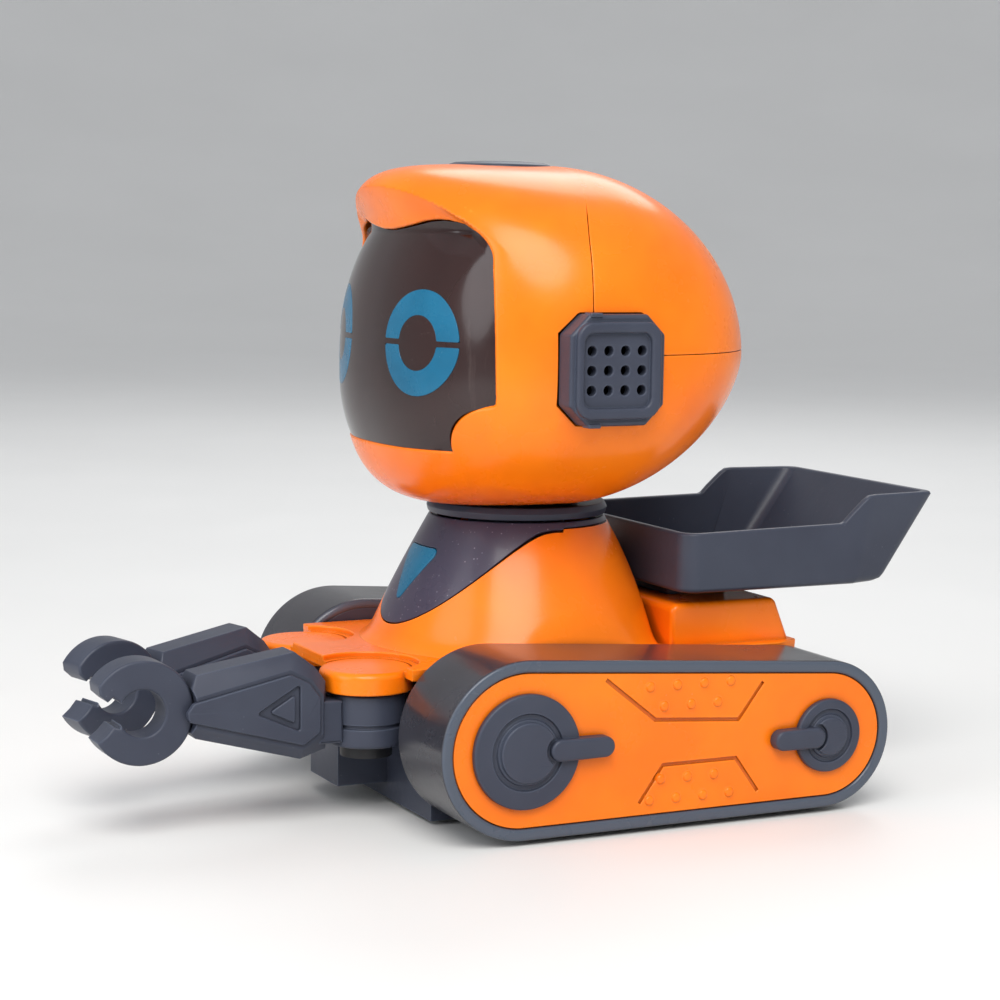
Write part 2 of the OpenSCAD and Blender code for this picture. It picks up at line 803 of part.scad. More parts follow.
arm_half_w = 3.6;
side_panel = [[-27.6, 17.6], [-26.4, 19.2], [-12.4, 22.2], [-9.4, 20.7], [-7.7, 18.4], [-7.7, 13.1],
    [-10.6, 11.2], [-27.3, 15.8]];
arm_middle = [[-25.2, 22.2], [-11.4, 24.4], [-8.4, 22.1], [-6.9, 20.1], [-6.9, 10.8], [-10.6, 9.6], [-25.4, 13.6]];

// raised panel on an arm's side, framing a sunk triangle
module arm_panel() {
    panel_proud = 0.35;
    difference() {
        across(arm_half_w - gap, arm_half_w + panel_proud) polygon(side_panel);
        across(arm_half_w + 0.1, arm_half_w + over) difference() {
            polygon([[-17.4, 16.6], [-11.2, 20.2], [-11.2, 13.8]]);
            polygon([[-15.6, 16.7], [-11.9, 18.9], [-11.9, 14.9]]);
        }
    }
}

module forearm() {
    ring_cut = claw_r + gap;
    color(dark_plastic) difference() {
        union() {
            barrel();
            hull() {
                across(-2.2, 2.2) polygon(arm_middle);
                across(-arm_half_w, arm_half_w) polygon(side_panel);
            }
            across(-arm_half_w, arm_half_w) polygon([[-3.5, 11.4], [-8, 11.4], [-8, 17.6], [-3.5, 17.6]]);
            both_sides() arm_panel();
        }
        post(pin_r + run, 0, 30, 0, 0, fine);
        // room for the lug above the barrel
        post(lug_r + 0.25, barrel_high, 30, 0, 0, fine);
        across(-claw_half_t - gap, claw_half_t + gap) translate([-arm_reach, claw_z]) circle(ring_cut, $fn = fine);
        across(-1.55, 1.55) polygon([[-arm_reach, 16], [-19.9, 16], [-19.9, 20], [-arm_reach, 20]]);
    }
}

// open ring with small steps inside its mouth, and a tang that plugs into the forearm
module claw() {
    color(dark_plastic) {
        across(-claw_half_t, claw_half_t) translate([-arm_reach, claw_z]) difference() {
            circle(claw_r, $fn = 96);
            circle(grip_r, $fn = fine);
            polygon([[-1, -1.2], [-2.6, -0.9], [-3.1, -1.7], [-4, -1.3], [-4.5, -2.1], [-9, -2.5],
                [-9, 3.2], [-5.4, 2.5], [-4.7, 1.8], [-3.9, 2.4], [-2.9, 1.6], [-1, 1.9]]);
        }
        across(-1.5, 1.5) polygon([[-arm_reach + claw_r - 0.8, 16.1], [-20, 16.1], [-20, 19.9],
            [-arm_reach + claw_r - 0.8, 19.9]]);
    }
}

module shoulder_pins() {
    color(dark_plastic) both_sides() {
        post(3.6, barrel_low - 1.7, barrel_low - 0.15, shoulder_x, shoulder_y, fine);
        post(pin_r, barrel_low - 0.2, lug_top - 0.7, shoulder_x, shoulder_y, fine);
    }
}

// ---- head ----

function swell(z, wide, low, high, p_up, p_down) = let (
    u = z > wide ? (z - wide) / (high - wide) : (wide - z) / (wide - low),
    p = z > wide ? p_up : p_down) pow(max(0, 1 - pow(min(1, u), p)), 1 / p);
function signed_pow(v, p) = sign(v) * pow(abs(v), p);

// closed outline of the head, drawn inset from the surface, at a height
function head_outline(z, inset) = let (
    low = head_low + inset,
    high = head_high - inset,
    side = (head_half_w - inset) * swell(z, side_wide_z, low, high, 2.6, 2.5),
    front = (head_front - inset) * swell(z, front_wide_z, low, high, 5.5, 6),
    rear = (head_rear - inset) * swell(z, rear_wide_z, low, high, 1.86, 1.58))
    [for (i = [0:slice_points - 1]) let (a = 360 * (i + 0.5) / slice_points, s = signed_pow(sin(a), 2 / section_power))
        [side * signed_pow(cos(a), 2 / section_power), head_y + (s < 0 ? front : rear) * s]];

module head_form(inset) {
    low = head_low + inset + 0.02;
    high = head_high - inset - 0.02;
    thin = 0.01;
    levels = [for (i = [0:slice_count]) low + (high - low - thin) * (1 - cos(180 * i / slice_count)) / 2];
    for (i = [0:slice_count - 1]) hull() for (z = [levels[i], levels[i + 1]])
        translate([0, 0, z]) linear_extrude(thin) polygon(head_outline(z, inset));
}

// space behind the seam line, where the rear shell sits
module rear_region(shrink) {
    across(-40, 40) polygon([[60, seam_z + shrink], [ear_y - 2.6 + shrink, seam_z + shrink],
        [ear_y - 2.6 + shrink, 70], [-3.5 + shrink, 76.8], [-2.8 + shrink, 81], [-0.9 + shrink, 85.4],
        [crown_y + crown_r + 0.6 + shrink, 88.4], [crown_y + crown_r + 0.6 + shrink, 95], [60, 95]]);
}

// front outline of the visor: arched top with round corners and a round cheek notch at each side
module visor_outline(shrink) {
    corner = [17.2, 75];
    corner_r = 5.7;
    notch_at = [24.5, 50.5];
    notch_r = 6.9;
    half = concat([[0, 80.2], [6, 80.8], [12, 81.9], [16, 81.4]],
        [for (a = [60:-15:15]) corner + polar(corner_r, a)], [[23.6, 73.5], [24.3, 68], [24.5, 62], [24.5, 50.8]]);
    left = [for (i = [len(half) - 1:-1:1]) [-half[i][0], half[i][1]]];
    offset(delta = -shrink) difference() {
        polygon(concat(half, left));
        for (side = [-1, 1]) translate([side * notch_at[0], notch_at[1]]) circle(notch_r, $fn = 48);
    }
}

module ear_outline(grow) {
    h = [7.6 + grow, 7.4 + grow];
    cut = 2.7;
    translate([ear_y, ear_z]) polygon([[-h[0], -h[1] + cut], [-h[0] + cut, -h[1]], [h[0] - cut, -h[1]],
        [h[0], -h[1] + cut], [h[0], h[1] - cut], [h[0] - cut, h[1]], [-h[0] + cut, h[1]], [-h[0], h[1] - cut]]);
}

// everything that is cut out of both head shells
module head_openings() {
    across(-40, 40) ear_outline(gap);
    post(crown_r + 0.15, 86, 95, 0, crown_y, fine);
    post(9, 38, 50, 0, 0, fine);
    block([-30, -30, 38], [30, 30, neck_cut]);
}

module head_front_shell() {
    color(orange_plastic) difference() {
        head_form(0);
        head_form(shell_t);
        rear_region(0);
        head_openings();
        along(-40, -8) visor_outline(0);
    }
}

module head_rear_shell() {
    color(orange_plastic) difference() {
        intersection() {
            head_form(0);
            rear_region(0.08);
        }
        head_form(shell_t);
        head_openings();
    }
}

module visor() {
    color(black_lens) difference() {
        intersection() {
            head_form(0.25);
            along(-40, -8) visor_outline(0.06);
        }
        head_form(shell_t - 0.1);
        along(-40, -8) eye_outline(gap);
    }
}

// each eye is a ring split across its middle
module eye_outline(grow) {
    split = 0.35 - grow;
    for (side = [-1, 1]) translate([side * eye_x, eye_z]) difference() {
        circle(eye_r + grow, $fn = 48);
        circle(3.5 - grow, $fn = 48);
        square([2 * eye_r + 4, 2 * split], center = true);
    }
}

module eye_rings() {
    color(eye_blue) intersection() {
        difference() {
            head_form(0.2);
            head_form(shell_t);
        }
        along(-40, -8) eye_outline(0);
    }
}

module face_board() {
    board_y = -13;
    color(board_green) {
        block([-17, board_y, 56], [17, board_y + 1.2, 75]);
        for (side = [-1, 1], a = [45:90:315]) translate([side * eye_x + 4.2 * cos(a), board_y + 0.1, eye_z + 4.2 * sin(a)])
            rotate([90, 0, 0]) cylinder(r = 1, h = 2, $fn = small);
        block([-5, board_y + 1.1, 60], [5, board_y + 3.5, 66]);
    }
}

module left_ear_grille() {
    hole_r = 0.65;
    pitch = [2.5, 2.45];
    color(dark_plastic) difference() {
        union() {
            across(29.2, 32.7) ear_outline(0);
            across(32.6, 33.5) intersection() {
                translate([ear_y, ear_z]) square([13.3, 13.1], center = true);
                ear_outline(-0.9);
            }
            across(31.4, 33) for (side = [-1, 1]) translate([ear_y - 3.4, ear_z + side * 7.5])
                square([1.8, 1.2], center = true);
        }
        across(32.9, 35) translate([ear_y + 0.3, ear_z]) square([10.4, 8.6], center = true);
        for (i = [-1.5:1.5], j = [-1:1])
            rod_x(hole_r, 28, 35, [ear_y + 0.3 + i * pitch[0], ear_z + j * pitch[1]], 16);
    }
}

module speaker() {
    at = [ear_y, ear_z];
    color(rubber_black) {
        rod_x(8, 22.4, 24, at);
        rod_x(6.4, 20.6, 22.5, at);
        rod_x(7.2, 23.9, 24.6, at);
    }
}

spigot_r = 7;
spigot_end_r = 5.6;
spigot_step = 37.2;

// dark ring under the head with the hollow spigot that turns in the torso
module neck_collar() {
    bore_r = 4.4;
    color(dark_plastic) rotate_extrude($fn = fine) polygon([[bore_r, 35.2], [spigot_end_r, 35.2],
        [spigot_end_r, spigot_step], [spigot_r, spigot_step], [spigot_r, torso_top + 0.12],
        [13.3, torso_top + 0.12], [13.4, neck_cut - gap], [8.9, neck_cut - gap], [8.9, 44.4], [bore_r, 44.4]]);
}

module neck_retainer() {
    color(steel_grey) rotate_extrude($fn = fine)
        polygon([[spigot_end_r, 35.5], [9.4, 35.5], [9.4, spigot_step], [spigot_end_r, spigot_step]]);
}

module crown_button() {
    rim = 0.8;
    color(dark_plastic) translate([0, crown_y, 0]) rotate_extrude($fn = fine)
        polygon([[0, 84.2], [2, 84.2], [2, 86.6], [crown_r - 0.2, 86.6], [crown_r - 0.2, crown_top - rim],
            [crown_r - rim, crown_top - 0.25], [crown_r / 2, crown_top - 0.05], [0, crown_top]]);
}

module crown_switch() {
    travel_room = 84.2 - crown_travel - 0.1;
    color(black_lens) {
        block([-4, crown_y - 4, travel_room - 3.4], [4, crown_y + 4, travel_room - 2]);
        block([-3, crown_y - 3, travel_room - 2.05], [3, crown_y + 3, travel_room]);
    }
}

chassis_base();
deck_cover();
torso_shell();
chest_bib();
chest_light();
tray();
left_track_shell();
right_side() left_track_shell();  // right_track_shell
left_track_plate();
right_side() left_track_plate();  // right_track_plate
left_front_hub_cap();
right_side() left_front_hub_cap();  // right_front_hub_cap
left_rear_hub_cap();
right_side() left_rear_hub_cap();  // right_rear_hub_cap
battery_door();
battery_door_screw();
batteries();
battery_contacts();
main_board();
line_sensor();
power_switch_body();
power_switch_knob();
body_screws();
shoulder_pins();
left_motor();
right_side() left_motor();  // right_motor
left_motor_rotor();
right_side() left_motor_rotor();  // right_motor_rotor
left_pinion();
right_side() left_pinion();  // right_pinion
left_idler_gear();
right_side() left_idler_gear();  // right_idler_gear
idler_pins();
left_axle();
right_side() left_axle();  // right_axle
left_axle_gear();
right_side() left_axle_gear();  // right_axle_gear
left_wheel_hub();
right_side() left_wheel_hub();  // right_wheel_hub
left_wheel_tyre();
right_side() left_wheel_tyre();  // right_wheel_tyre
left_front_roller();
right_side() left_front_roller();  // right_front_roller
roller_pins();
to_shoulder(0) forearm();  // left_forearm
right_side() to_shoulder(right_rest_turn) forearm();  // right_forearm
to_shoulder(0) claw();  // left_claw
right_side() to_shoulder(right_rest_turn) claw();  // right_claw
head_front_shell();
head_rear_shell();
visor();
eye_rings();
face_board();
left_ear_grille();
right_side() left_ear_grille();  // right_ear_grille
speaker();
neck_collar();
neck_retainer();
crown_button();
crown_switch();
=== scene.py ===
"""Looks of the educational coding robot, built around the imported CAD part.

Lengths are millimetres until a mesh is made. +Z is up, the front faces -Y, and the robot's left
side is +X. The outlines are drawn for the left side, and the right side mirrors them.
"""
import json
import math

import bmesh
import bpy
import numpy as np
from mathutils import Matrix, Vector
from mathutils.geometry import tessellate_polygon


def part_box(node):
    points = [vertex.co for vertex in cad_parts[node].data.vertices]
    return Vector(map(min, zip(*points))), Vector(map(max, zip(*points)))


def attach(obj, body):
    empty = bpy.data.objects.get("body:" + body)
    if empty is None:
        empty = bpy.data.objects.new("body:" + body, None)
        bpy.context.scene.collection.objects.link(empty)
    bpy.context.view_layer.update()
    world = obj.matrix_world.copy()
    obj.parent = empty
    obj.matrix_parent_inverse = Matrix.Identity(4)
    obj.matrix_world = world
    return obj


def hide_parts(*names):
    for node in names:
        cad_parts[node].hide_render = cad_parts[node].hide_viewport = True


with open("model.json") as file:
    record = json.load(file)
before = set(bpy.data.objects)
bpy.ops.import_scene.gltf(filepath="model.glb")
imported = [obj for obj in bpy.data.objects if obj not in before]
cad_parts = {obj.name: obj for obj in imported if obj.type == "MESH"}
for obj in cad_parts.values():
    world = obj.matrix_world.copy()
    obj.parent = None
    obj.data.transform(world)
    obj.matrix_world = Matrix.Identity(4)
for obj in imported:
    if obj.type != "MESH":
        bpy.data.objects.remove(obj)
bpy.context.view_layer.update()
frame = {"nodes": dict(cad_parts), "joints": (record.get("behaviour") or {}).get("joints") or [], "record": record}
MM = 0.001


def box_mm(node):
    """Lowest and highest corner of a CAD node, to a thousandth of a millimetre."""
    return [[round(v / MM, 3) for v in corner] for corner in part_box(node)]


def middle(node, axis):
    """Middle of a CAD node's box along an axis; 0, 1 and 2 are X, Y and Z."""
    low, high = box_mm(node)
    return round((low[axis] + high[axis]) / 2, 3)


# ---------------------------------------------------------------- materials

SHEEN = 0.3                     # specular level of the plastics
PLASTIC_IOR = 1.5
NOISE_SPAN = (0.35, 0.65)       # the noise values that span a full drift of colour
MIX_COLOUR_SLOTS = (0, 6, 7)    # factor, A and B of a colour mix node


class Nodes:
    """Short hand for building one material's node tree."""

    def __init__(self, name):
        self.material = bpy.data.materials.new(name)
        self.material.use_nodes = True
        self.tree = self.material.node_tree
        self.tree.nodes.clear()
        self.coords = self.add("ShaderNodeTexCoord").outputs["Object"]
        self.shader = self.add("ShaderNodeBsdfPrincipled")
        output = self.add("ShaderNodeOutputMaterial")
        self.link(self.shader.outputs["BSDF"], output.inputs["Surface"])

    def add(self, kind, inputs=(), **values):
        """A new node with some of its settings and some of its inputs' numbers."""
        node = self.tree.nodes.new(kind)
        for key, value in values.items():
            setattr(node, key, value)
        for key, value in dict(inputs).items():
            node.inputs[key].default_value = value
        return node

    def link(self, a, b):
        self.tree.links.new(a, b)

    def noise(self, scale, detail=4.0, rough=0.55, stretch=None):
        node = self.add("ShaderNodeTexNoise", {"Scale": scale, "Detail": detail, "Roughness": rough})
        source = self.coords
        if stretch:
            mapping = self.add("ShaderNodeMapping", {"Scale": stretch})
            self.link(source, mapping.inputs["Vector"])
            source = mapping.outputs["Vector"]
        self.link(source, node.inputs["Vector"])
        return node.outputs["Fac"]

    def remap(self, value, a, b, c, d):
        """Turns the span a to b into c to d."""
        spans = {"From Min": a, "From Max": b, "To Min": c, "To Max": d}
        node = self.add("ShaderNodeMapRange", spans)
        self.link(value, node.inputs["Value"])
        return node.outputs["Result"]

    def math(self, operation, a, b):
        node = self.add("ShaderNodeMath", operation=operation)
        for slot, value in enumerate((a, b)):
            self.fill(node.inputs[slot], value)
        return node.outputs["Value"]

    def mix(self, factor, a, b):
        node = self.add("ShaderNodeMix", data_type="RGBA")
        for slot, value in zip(MIX_COLOUR_SLOTS, (factor, a, b)):
            self.fill(node.inputs[slot], value)
        return node.outputs[2]

    def fill(self, socket, value):
        """Gives an input a number, a colour or another node's output."""
        if isinstance(value, (int, float)):
            socket.default_value = value
        elif isinstance(value, (tuple, list)):
            socket.default_value = (*value, 1.0)
        else:
            self.link(value, socket)

    def drift(self, scale, a, b):
        """A colour that wanders slowly from a to b and back."""
        return self.mix(self.remap(self.noise(scale, 3.0), *NOISE_SPAN, 0.0, 1.0), a, b)

    def flecks(self, scale, size, patch_scale, patches, most):
        """Small scattered dots, thickest where a slower noise is high."""
        node = self.add("ShaderNodeTexVoronoi", {"Scale": scale})
        self.link(self.coords, node.inputs["Vector"])
        dots = self.remap(node.outputs["Distance"], *size, 1.0, 0.0)
        return self.math("MULTIPLY", dots, self.remap(self.noise(patch_scale), *patches, 0.0, most))

    def edges(self, radius):
        """1 along sharp convex or concave edges, from the bent normal of a bevel node."""
        bevel = self.add("ShaderNodeBevel", {"Radius": radius}, samples=4)
        geometry = self.add("ShaderNodeNewGeometry")
        dot = self.add("ShaderNodeVectorMath", operation="DOT_PRODUCT")
        self.link(bevel.outputs["Normal"], dot.inputs[0])
        self.link(geometry.outputs["Normal"], dot.inputs[1])
        return self.remap(dot.outputs["Value"], 0.97, 0.8, 0.0, 1.0)

    def hollows(self, reach):
        """1 in tight grooves and corners, 0 on open faces."""
        node = self.add("ShaderNodeAmbientOcclusion", {"Distance": reach}, samples=4)
        return self.remap(node.outputs["AO"], 0.85, 0.35, 0.0, 1.0)

    def facing_side(self):
        """1 on faces that look to the robot's left or right."""
        geometry = self.add("ShaderNodeNewGeometry")
        parts = self.add("ShaderNodeSeparateXYZ")
        self.link(geometry.outputs["Normal"], parts.inputs[0])
        return self.remap(self.math("ABSOLUTE", parts.outputs["X"], 0.0), 0.3, 0.75, 0.0, 1.0)

    def bump(self, height, distance):
        node = self.add("ShaderNodeBump", {"Distance": distance, "Strength": 1.0})
        self.link(height, node.inputs["Height"])
        self.link(node.outputs["Normal"], self.shader.inputs["Normal"])

    def rough(self, noise, low, high, span=(0.3, 0.7)):
        self.set(Roughness=self.remap(noise, *span, low, high))

    def set(self, **values):
        for key, value in values.items():
            self.fill(self.shader.inputs[key.replace("_", " ")], value)


def moulded(name, base, dark, rough, swing=0.06, texture=900.0, bump=0.01, coat=0.0, edge=None, side=None):
    """Injection-moulded plastic: slow colour drift, faint mould texture, fine dust, a painted highlight along
    edges and painted shade in grooves and corners.

    edge is the colour of a painted highlight along edges, and side a lighter colour painted on sideways faces.
    """
    n = Nodes(name)
    colour = n.drift(65.0, base, dark)
    # painted light: faces that look sideways get a lighter colour than the top
    if side:
        colour = n.mix(n.facing_side(), colour, side)
    if edge:
        # painted highlight along convex and concave edges, then painted shade darkening grooves and corners
        hollow_shade = tuple(0.35 * c for c in dark)
        colour = n.mix(n.math("MULTIPLY", n.edges(0.4 * MM), 0.55), colour, edge)
        colour = n.mix(n.math("MULTIPLY", n.hollows(1.2 * MM), 0.8), colour, hollow_shade)
    dust = n.flecks(700.0, (0.05, 0.09), 60.0, (0.52, 0.7), 0.35)
    n.set(Base_Color=n.mix(dust, colour, tuple(min(1.0, c * 0.6 + 0.3) for c in base)))
    n.rough(n.noise(45.0, 5.0, 0.65), rough - swing, rough + swing, (0.3, 0.75))
    n.set(Coat_Weight=coat, Coat_Roughness=0.12, IOR=PLASTIC_IOR, Specular_IOR_Level=SHEEN)
    n.bump(n.noise(texture, 2.0), bump * MM)
    return n.material


def lens_material():
    """Tinted visor: near-black with a brown cast, glossy, with hair-fine scuffs and dust."""
    n = Nodes("black_lens")
    tone = n.drift(30.0, (0.018, 0.007, 0.007), (0.034, 0.013, 0.012))
    dust = n.flecks(900.0, (0.04, 0.08), 50.0, (0.5, 0.65), 0.5)
    scuff = n.remap(n.noise(320.0, 6.0, 0.7, (1.0, 1.0, 0.12)), 0.62, 0.72, 0.0, 0.12)
    n.set(Base_Color=n.mix(n.math("ADD", dust, scuff), tone, (0.22, 0.17, 0.16)))
    n.set(IOR=PLASTIC_IOR, Specular_IOR_Level=0.4, Coat_Weight=0.2, Coat_Roughness=0.05)
    n.rough(n.noise(60.0, 5.0), 0.12, 0.22)
    n.bump(n.noise(1200.0, 2.0), 0.004 * MM)
    return n.material


def eye_material():
    """Blue light guide: flat printed colour that drifts a little, glossy, softly lit from behind."""
    n = Nodes("eye_blue")
    tone = n.drift(90.0, (0.004, 0.100, 0.195), (0.008, 0.130, 0.245))
    n.set(Base_Color=tone, Emission_Color=tone, Emission_Strength=0.08)
    n.set(IOR=PLASTIC_IOR, Specular_IOR_Level=SHEEN, Coat_Weight=0.15, Coat_Roughness=0.08)
    n.rough(n.noise(200.0, 4.0), 0.2, 0.34)
    n.bump(n.noise(1500.0, 2.0), 0.004 * MM)
    return n.material


def bib_material():
    """Dark violet-grey gloss with fine bright flecks."""
    n = Nodes("bib_plastic")
    tone = n.drift(70.0, (0.038, 0.034, 0.060), (0.052, 0.045, 0.074))
    fleck = n.flecks(1300.0, (0.08, 0.16), 140.0, (0.48, 0.62), 0.6)
    n.set(Base_Color=n.mix(fleck, tone, (0.42, 0.38, 0.46)))
    n.set(IOR=PLASTIC_IOR, Specular_IOR_Level=SHEEN, Coat_Weight=0.15, Coat_Roughness=0.1)
    n.rough(n.noise(60.0, 5.0), 0.24, 0.36)
    n.bump(n.noise(900.0, 2.0), 0.006 * MM)
    return n.material


def metal_material(name, base, dark, rough):
    """Turned metal with a fine grain along X."""
    n = Nodes(name)
    grain = n.noise(260.0, 6.0, 0.7, (0.08, 1.0, 1.0))
    n.set(Base_Color=n.mix(n.remap(grain, *NOISE_SPAN, 0.0, 1.0), base, dark), Metallic=1.0)
    n.rough(n.noise(300.0, 5.0), rough - 0.08, rough + 0.1)
    n.bump(grain, 0.01 * MM)
    return n.material


def floor_material():
    n = Nodes("floor")
    patch = n.remap(n.noise(6.0, 3.0), 0.3, 0.7, 0.0, 1.0)
    n.set(Base_Color=n.mix(patch, (0.80, 0.80, 0.79), (0.83, 0.83, 0.82)))
    n.rough(n.noise(30.0), 0.5, 0.6)
    return n.material


def make_materials():
    # slate_edge_highlight and the other edge colours below are painted highlights along edges
    slate, slate_dark, slate_edge_highlight = (0.050, 0.058, 0.085), (0.040, 0.046, 0.070), (0.14, 0.17, 0.24)
    made = [
        moulded("orange_plastic", (1.0, 0.215, 0.004), (0.93, 0.175, 0.003), 0.27, 0.05,
                coat=0.1, edge=(1.0, 0.36, 0.05)),
        moulded("dark_plastic", slate, slate_dark, 0.40, 0.07, bump=0.02, edge=slate_edge_highlight),
        # the side colour is painted light, making the band's sideways faces lighter than its top
        moulded("track_band", (0.040, 0.040, 0.050), (0.030, 0.029, 0.036), 0.26,
                coat=0.2, edge=slate_edge_highlight, side=(0.075, 0.092, 0.125)),
        lens_material(),
        eye_material(),
        bib_material(),
        moulded("black_parts", (0.012, 0.012, 0.014), (0.02, 0.02, 0.022), 0.45),
        moulded("board_green", (0.012, 0.13, 0.06), (0.008, 0.09, 0.045), 0.35, edge=(0.25, 0.32, 0.18)),
        metal_material("steel", (0.62, 0.64, 0.66), (0.48, 0.50, 0.53), 0.3),
        metal_material("brass", (0.75, 0.55, 0.22), (0.62, 0.43, 0.15), 0.28),
        moulded("gear_white", (0.78, 0.77, 0.71), (0.70, 0.69, 0.62), 0.42),
        moulded("tyre_rubber", (0.016, 0.016, 0.018), (0.028, 0.027, 0.027), 0.75, texture=1600.0, bump=0.04),
        moulded("cell_wrap", (0.5, 0.03, 0.02), (0.4, 0.02, 0.015), 0.3, coat=0.3),
        floor_material(),
    ]
    return {material.name.split(".")[0]: material for material in made}


# ---------------------------------------------------------------- meshes

WELD_STEP, WELD_SHIFT = 0.0005, 0.1371    # the shift keeps round numbers off the steps' borders
NEARLY_STRAIGHT = 0.02                    # a corner that bends less, in radians, stays as it is
ON_AXIS = 1e-6
SNAP = 0.02                               # a point this close to a field's zero line counts as inside
SHARP_ANGLE = 50.0                        # degrees between faces that stay a sharp edge

def link_object(name, data):
    obj = bpy.data.objects.new(name, data)
    bpy.context.scene.collection.objects.link(obj)
    return obj


def dress(m, obj, body, slot_name, node=None, look=None):
    """Gives a finished piece its material and its body, and hides the CAD node that it stands for.

    The node has the piece's own name unless one is given. Blender adds .001 to the piece's name.
    """
    obj.data.materials.clear()
    obj.data.materials.append(m[look or slot_name])
    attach(obj, body)
    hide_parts(node or obj.name.split(".")[0])


def dress_pair(m, left, body, slot_name, node=None, look=None):
    """Dresses a piece of the left side and its mirror image."""
    node = node or left.name.split(".")[0]
    right = mirrored(left, left.name.replace("left", "right"))
    dress(m, left, body, slot_name, node, look)
    dress(m, right, body, slot_name, node.replace("left", "right"), look)


def mirrored(obj, name):
    """A copy of a piece on the other side of the centre plane, with its custom normals mirrored too."""
    mesh = obj.data.copy()
    flat = np.zeros(len(mesh.loops) * 3, np.float32)
    mesh.corner_normals.foreach_get("vector", flat)
    normals = iter(flat.reshape(-1, 3) * (-1, 1, 1))
    bm = bmesh.new()
    bm.from_mesh(mesh)
    keep = bm.loops.layers.float_vector.new("mirror_normal")
    for face in bm.faces:
        for loop in face.loops:
            loop[keep] = Vector(next(normals))
    for v in bm.verts:
        v.co.x = -v.co.x
    bmesh.ops.reverse_faces(bm, faces=bm.faces[:])
    bm.to_mesh(mesh)
    bm.free()
    layer = mesh.attributes["mirror_normal"]
    layer.data.foreach_get("vector", flat)
    mesh.attributes.remove(layer)
    mesh.normals_split_custom_set(flat.reshape(-1, 3).tolist())
    return link_object(name, mesh)


def signed_power(v, p):
    return np.sign(v) * np.abs(v) ** p


def unit(v):
    return v / np.maximum(np.linalg.norm(v, axis=-1, keepdims=True), 1e-12)


# -- shells cut out of a smooth surface by scalar fields

def grid(us, vs):
    """Points (u, v) of a grid and its triangles."""
    q = np.array([(u, v) for v in vs for u in us])
    n = len(us)
    base = (np.arange(len(vs) - 1)[:, None] * n + np.arange(n - 1)[None, :]).ravel()
    a, b, c, d = base, base + 1, base + n + 1, base + n
    return q, np.concatenate([np.stack([a, b, c], 1), np.stack([a, c, d], 1)])


def clip(q, tris, point, field):
    """Keeps the part of a surface where field is positive, cutting triangles along its zero line."""
    value = field(point(q))
    value = np.where(np.abs(value) < SNAP, 1e-9, value)
    ins = (value > 0)[tris]
    count = ins.sum(1)
    kept = [tris[count == 3]]
    part = (count == 1) | (count == 2)
    cut, ins = tris[part], ins[part]
    if not len(cut):
        return q, kept[0]
    lone = ins.sum(1) == 1
    odd = np.where(lone, ins.argmax(1), (~ins).argmax(1))
    row = np.arange(len(cut))
    r = np.stack([cut[row, (odd + k) % 3] for k in range(3)], 1)
    pairs = np.sort(np.concatenate([r[:, [0, 1]], r[:, [0, 2]]]), 1)
    edges, where = np.unique(pairs, axis=0, return_inverse=True)
    where = where.ravel()
    lo, hi = edges[:, 0], edges[:, 1]
    a, b = np.zeros(len(edges)), np.ones(len(edges))
    fa, fb = value[lo], value[hi]
    for _ in range(5):
        t = a + (b - a) * fa / (fa - fb)
        ft = field(point(q[lo] + t[:, None] * (q[hi] - q[lo])))
        same = np.sign(ft) == np.sign(fa)
        a, fa = np.where(same, t, a), np.where(same, ft, fa)
        b, fb = np.where(same, b, t), np.where(same, fb, ft)
    t = a + (b - a) * fa / np.where(np.abs(fa - fb) < 1e-15, 1.0, fa - fb)
    q2 = np.concatenate([q, q[lo] + t[:, None] * (q[hi] - q[lo])])
    e1, e2 = len(q) + where[:len(cut)], len(q) + where[len(cut):]
    kept.append(np.stack([r[:, 0], e1, e2], 1)[lone])
    two = ~lone
    kept.append(np.stack([e1, r[:, 1], r[:, 2]], 1)[two])
    kept.append(np.stack([e1, r[:, 2], e2], 1)[two])
    return q2, np.concatenate(kept)


def weld(points, normals, tris):
    """Joins points that fall together and drops what is left unused."""
    key = np.round(points / WELD_STEP + WELD_SHIFT).astype(np.int64)
    _, first, back = np.unique(key, axis=0, return_index=True, return_inverse=True)
    tris = back.ravel()[tris]
    good = (tris[:, 0] != tris[:, 1]) & (tris[:, 1] != tris[:, 2]) & (tris[:, 0] != tris[:, 2])
    tris = tris[good]
    used = np.unique(tris)
    remap = np.full(len(first), -1)
    remap[used] = np.arange(len(used))
    return points[first][used], normals[first][used], remap[tris]


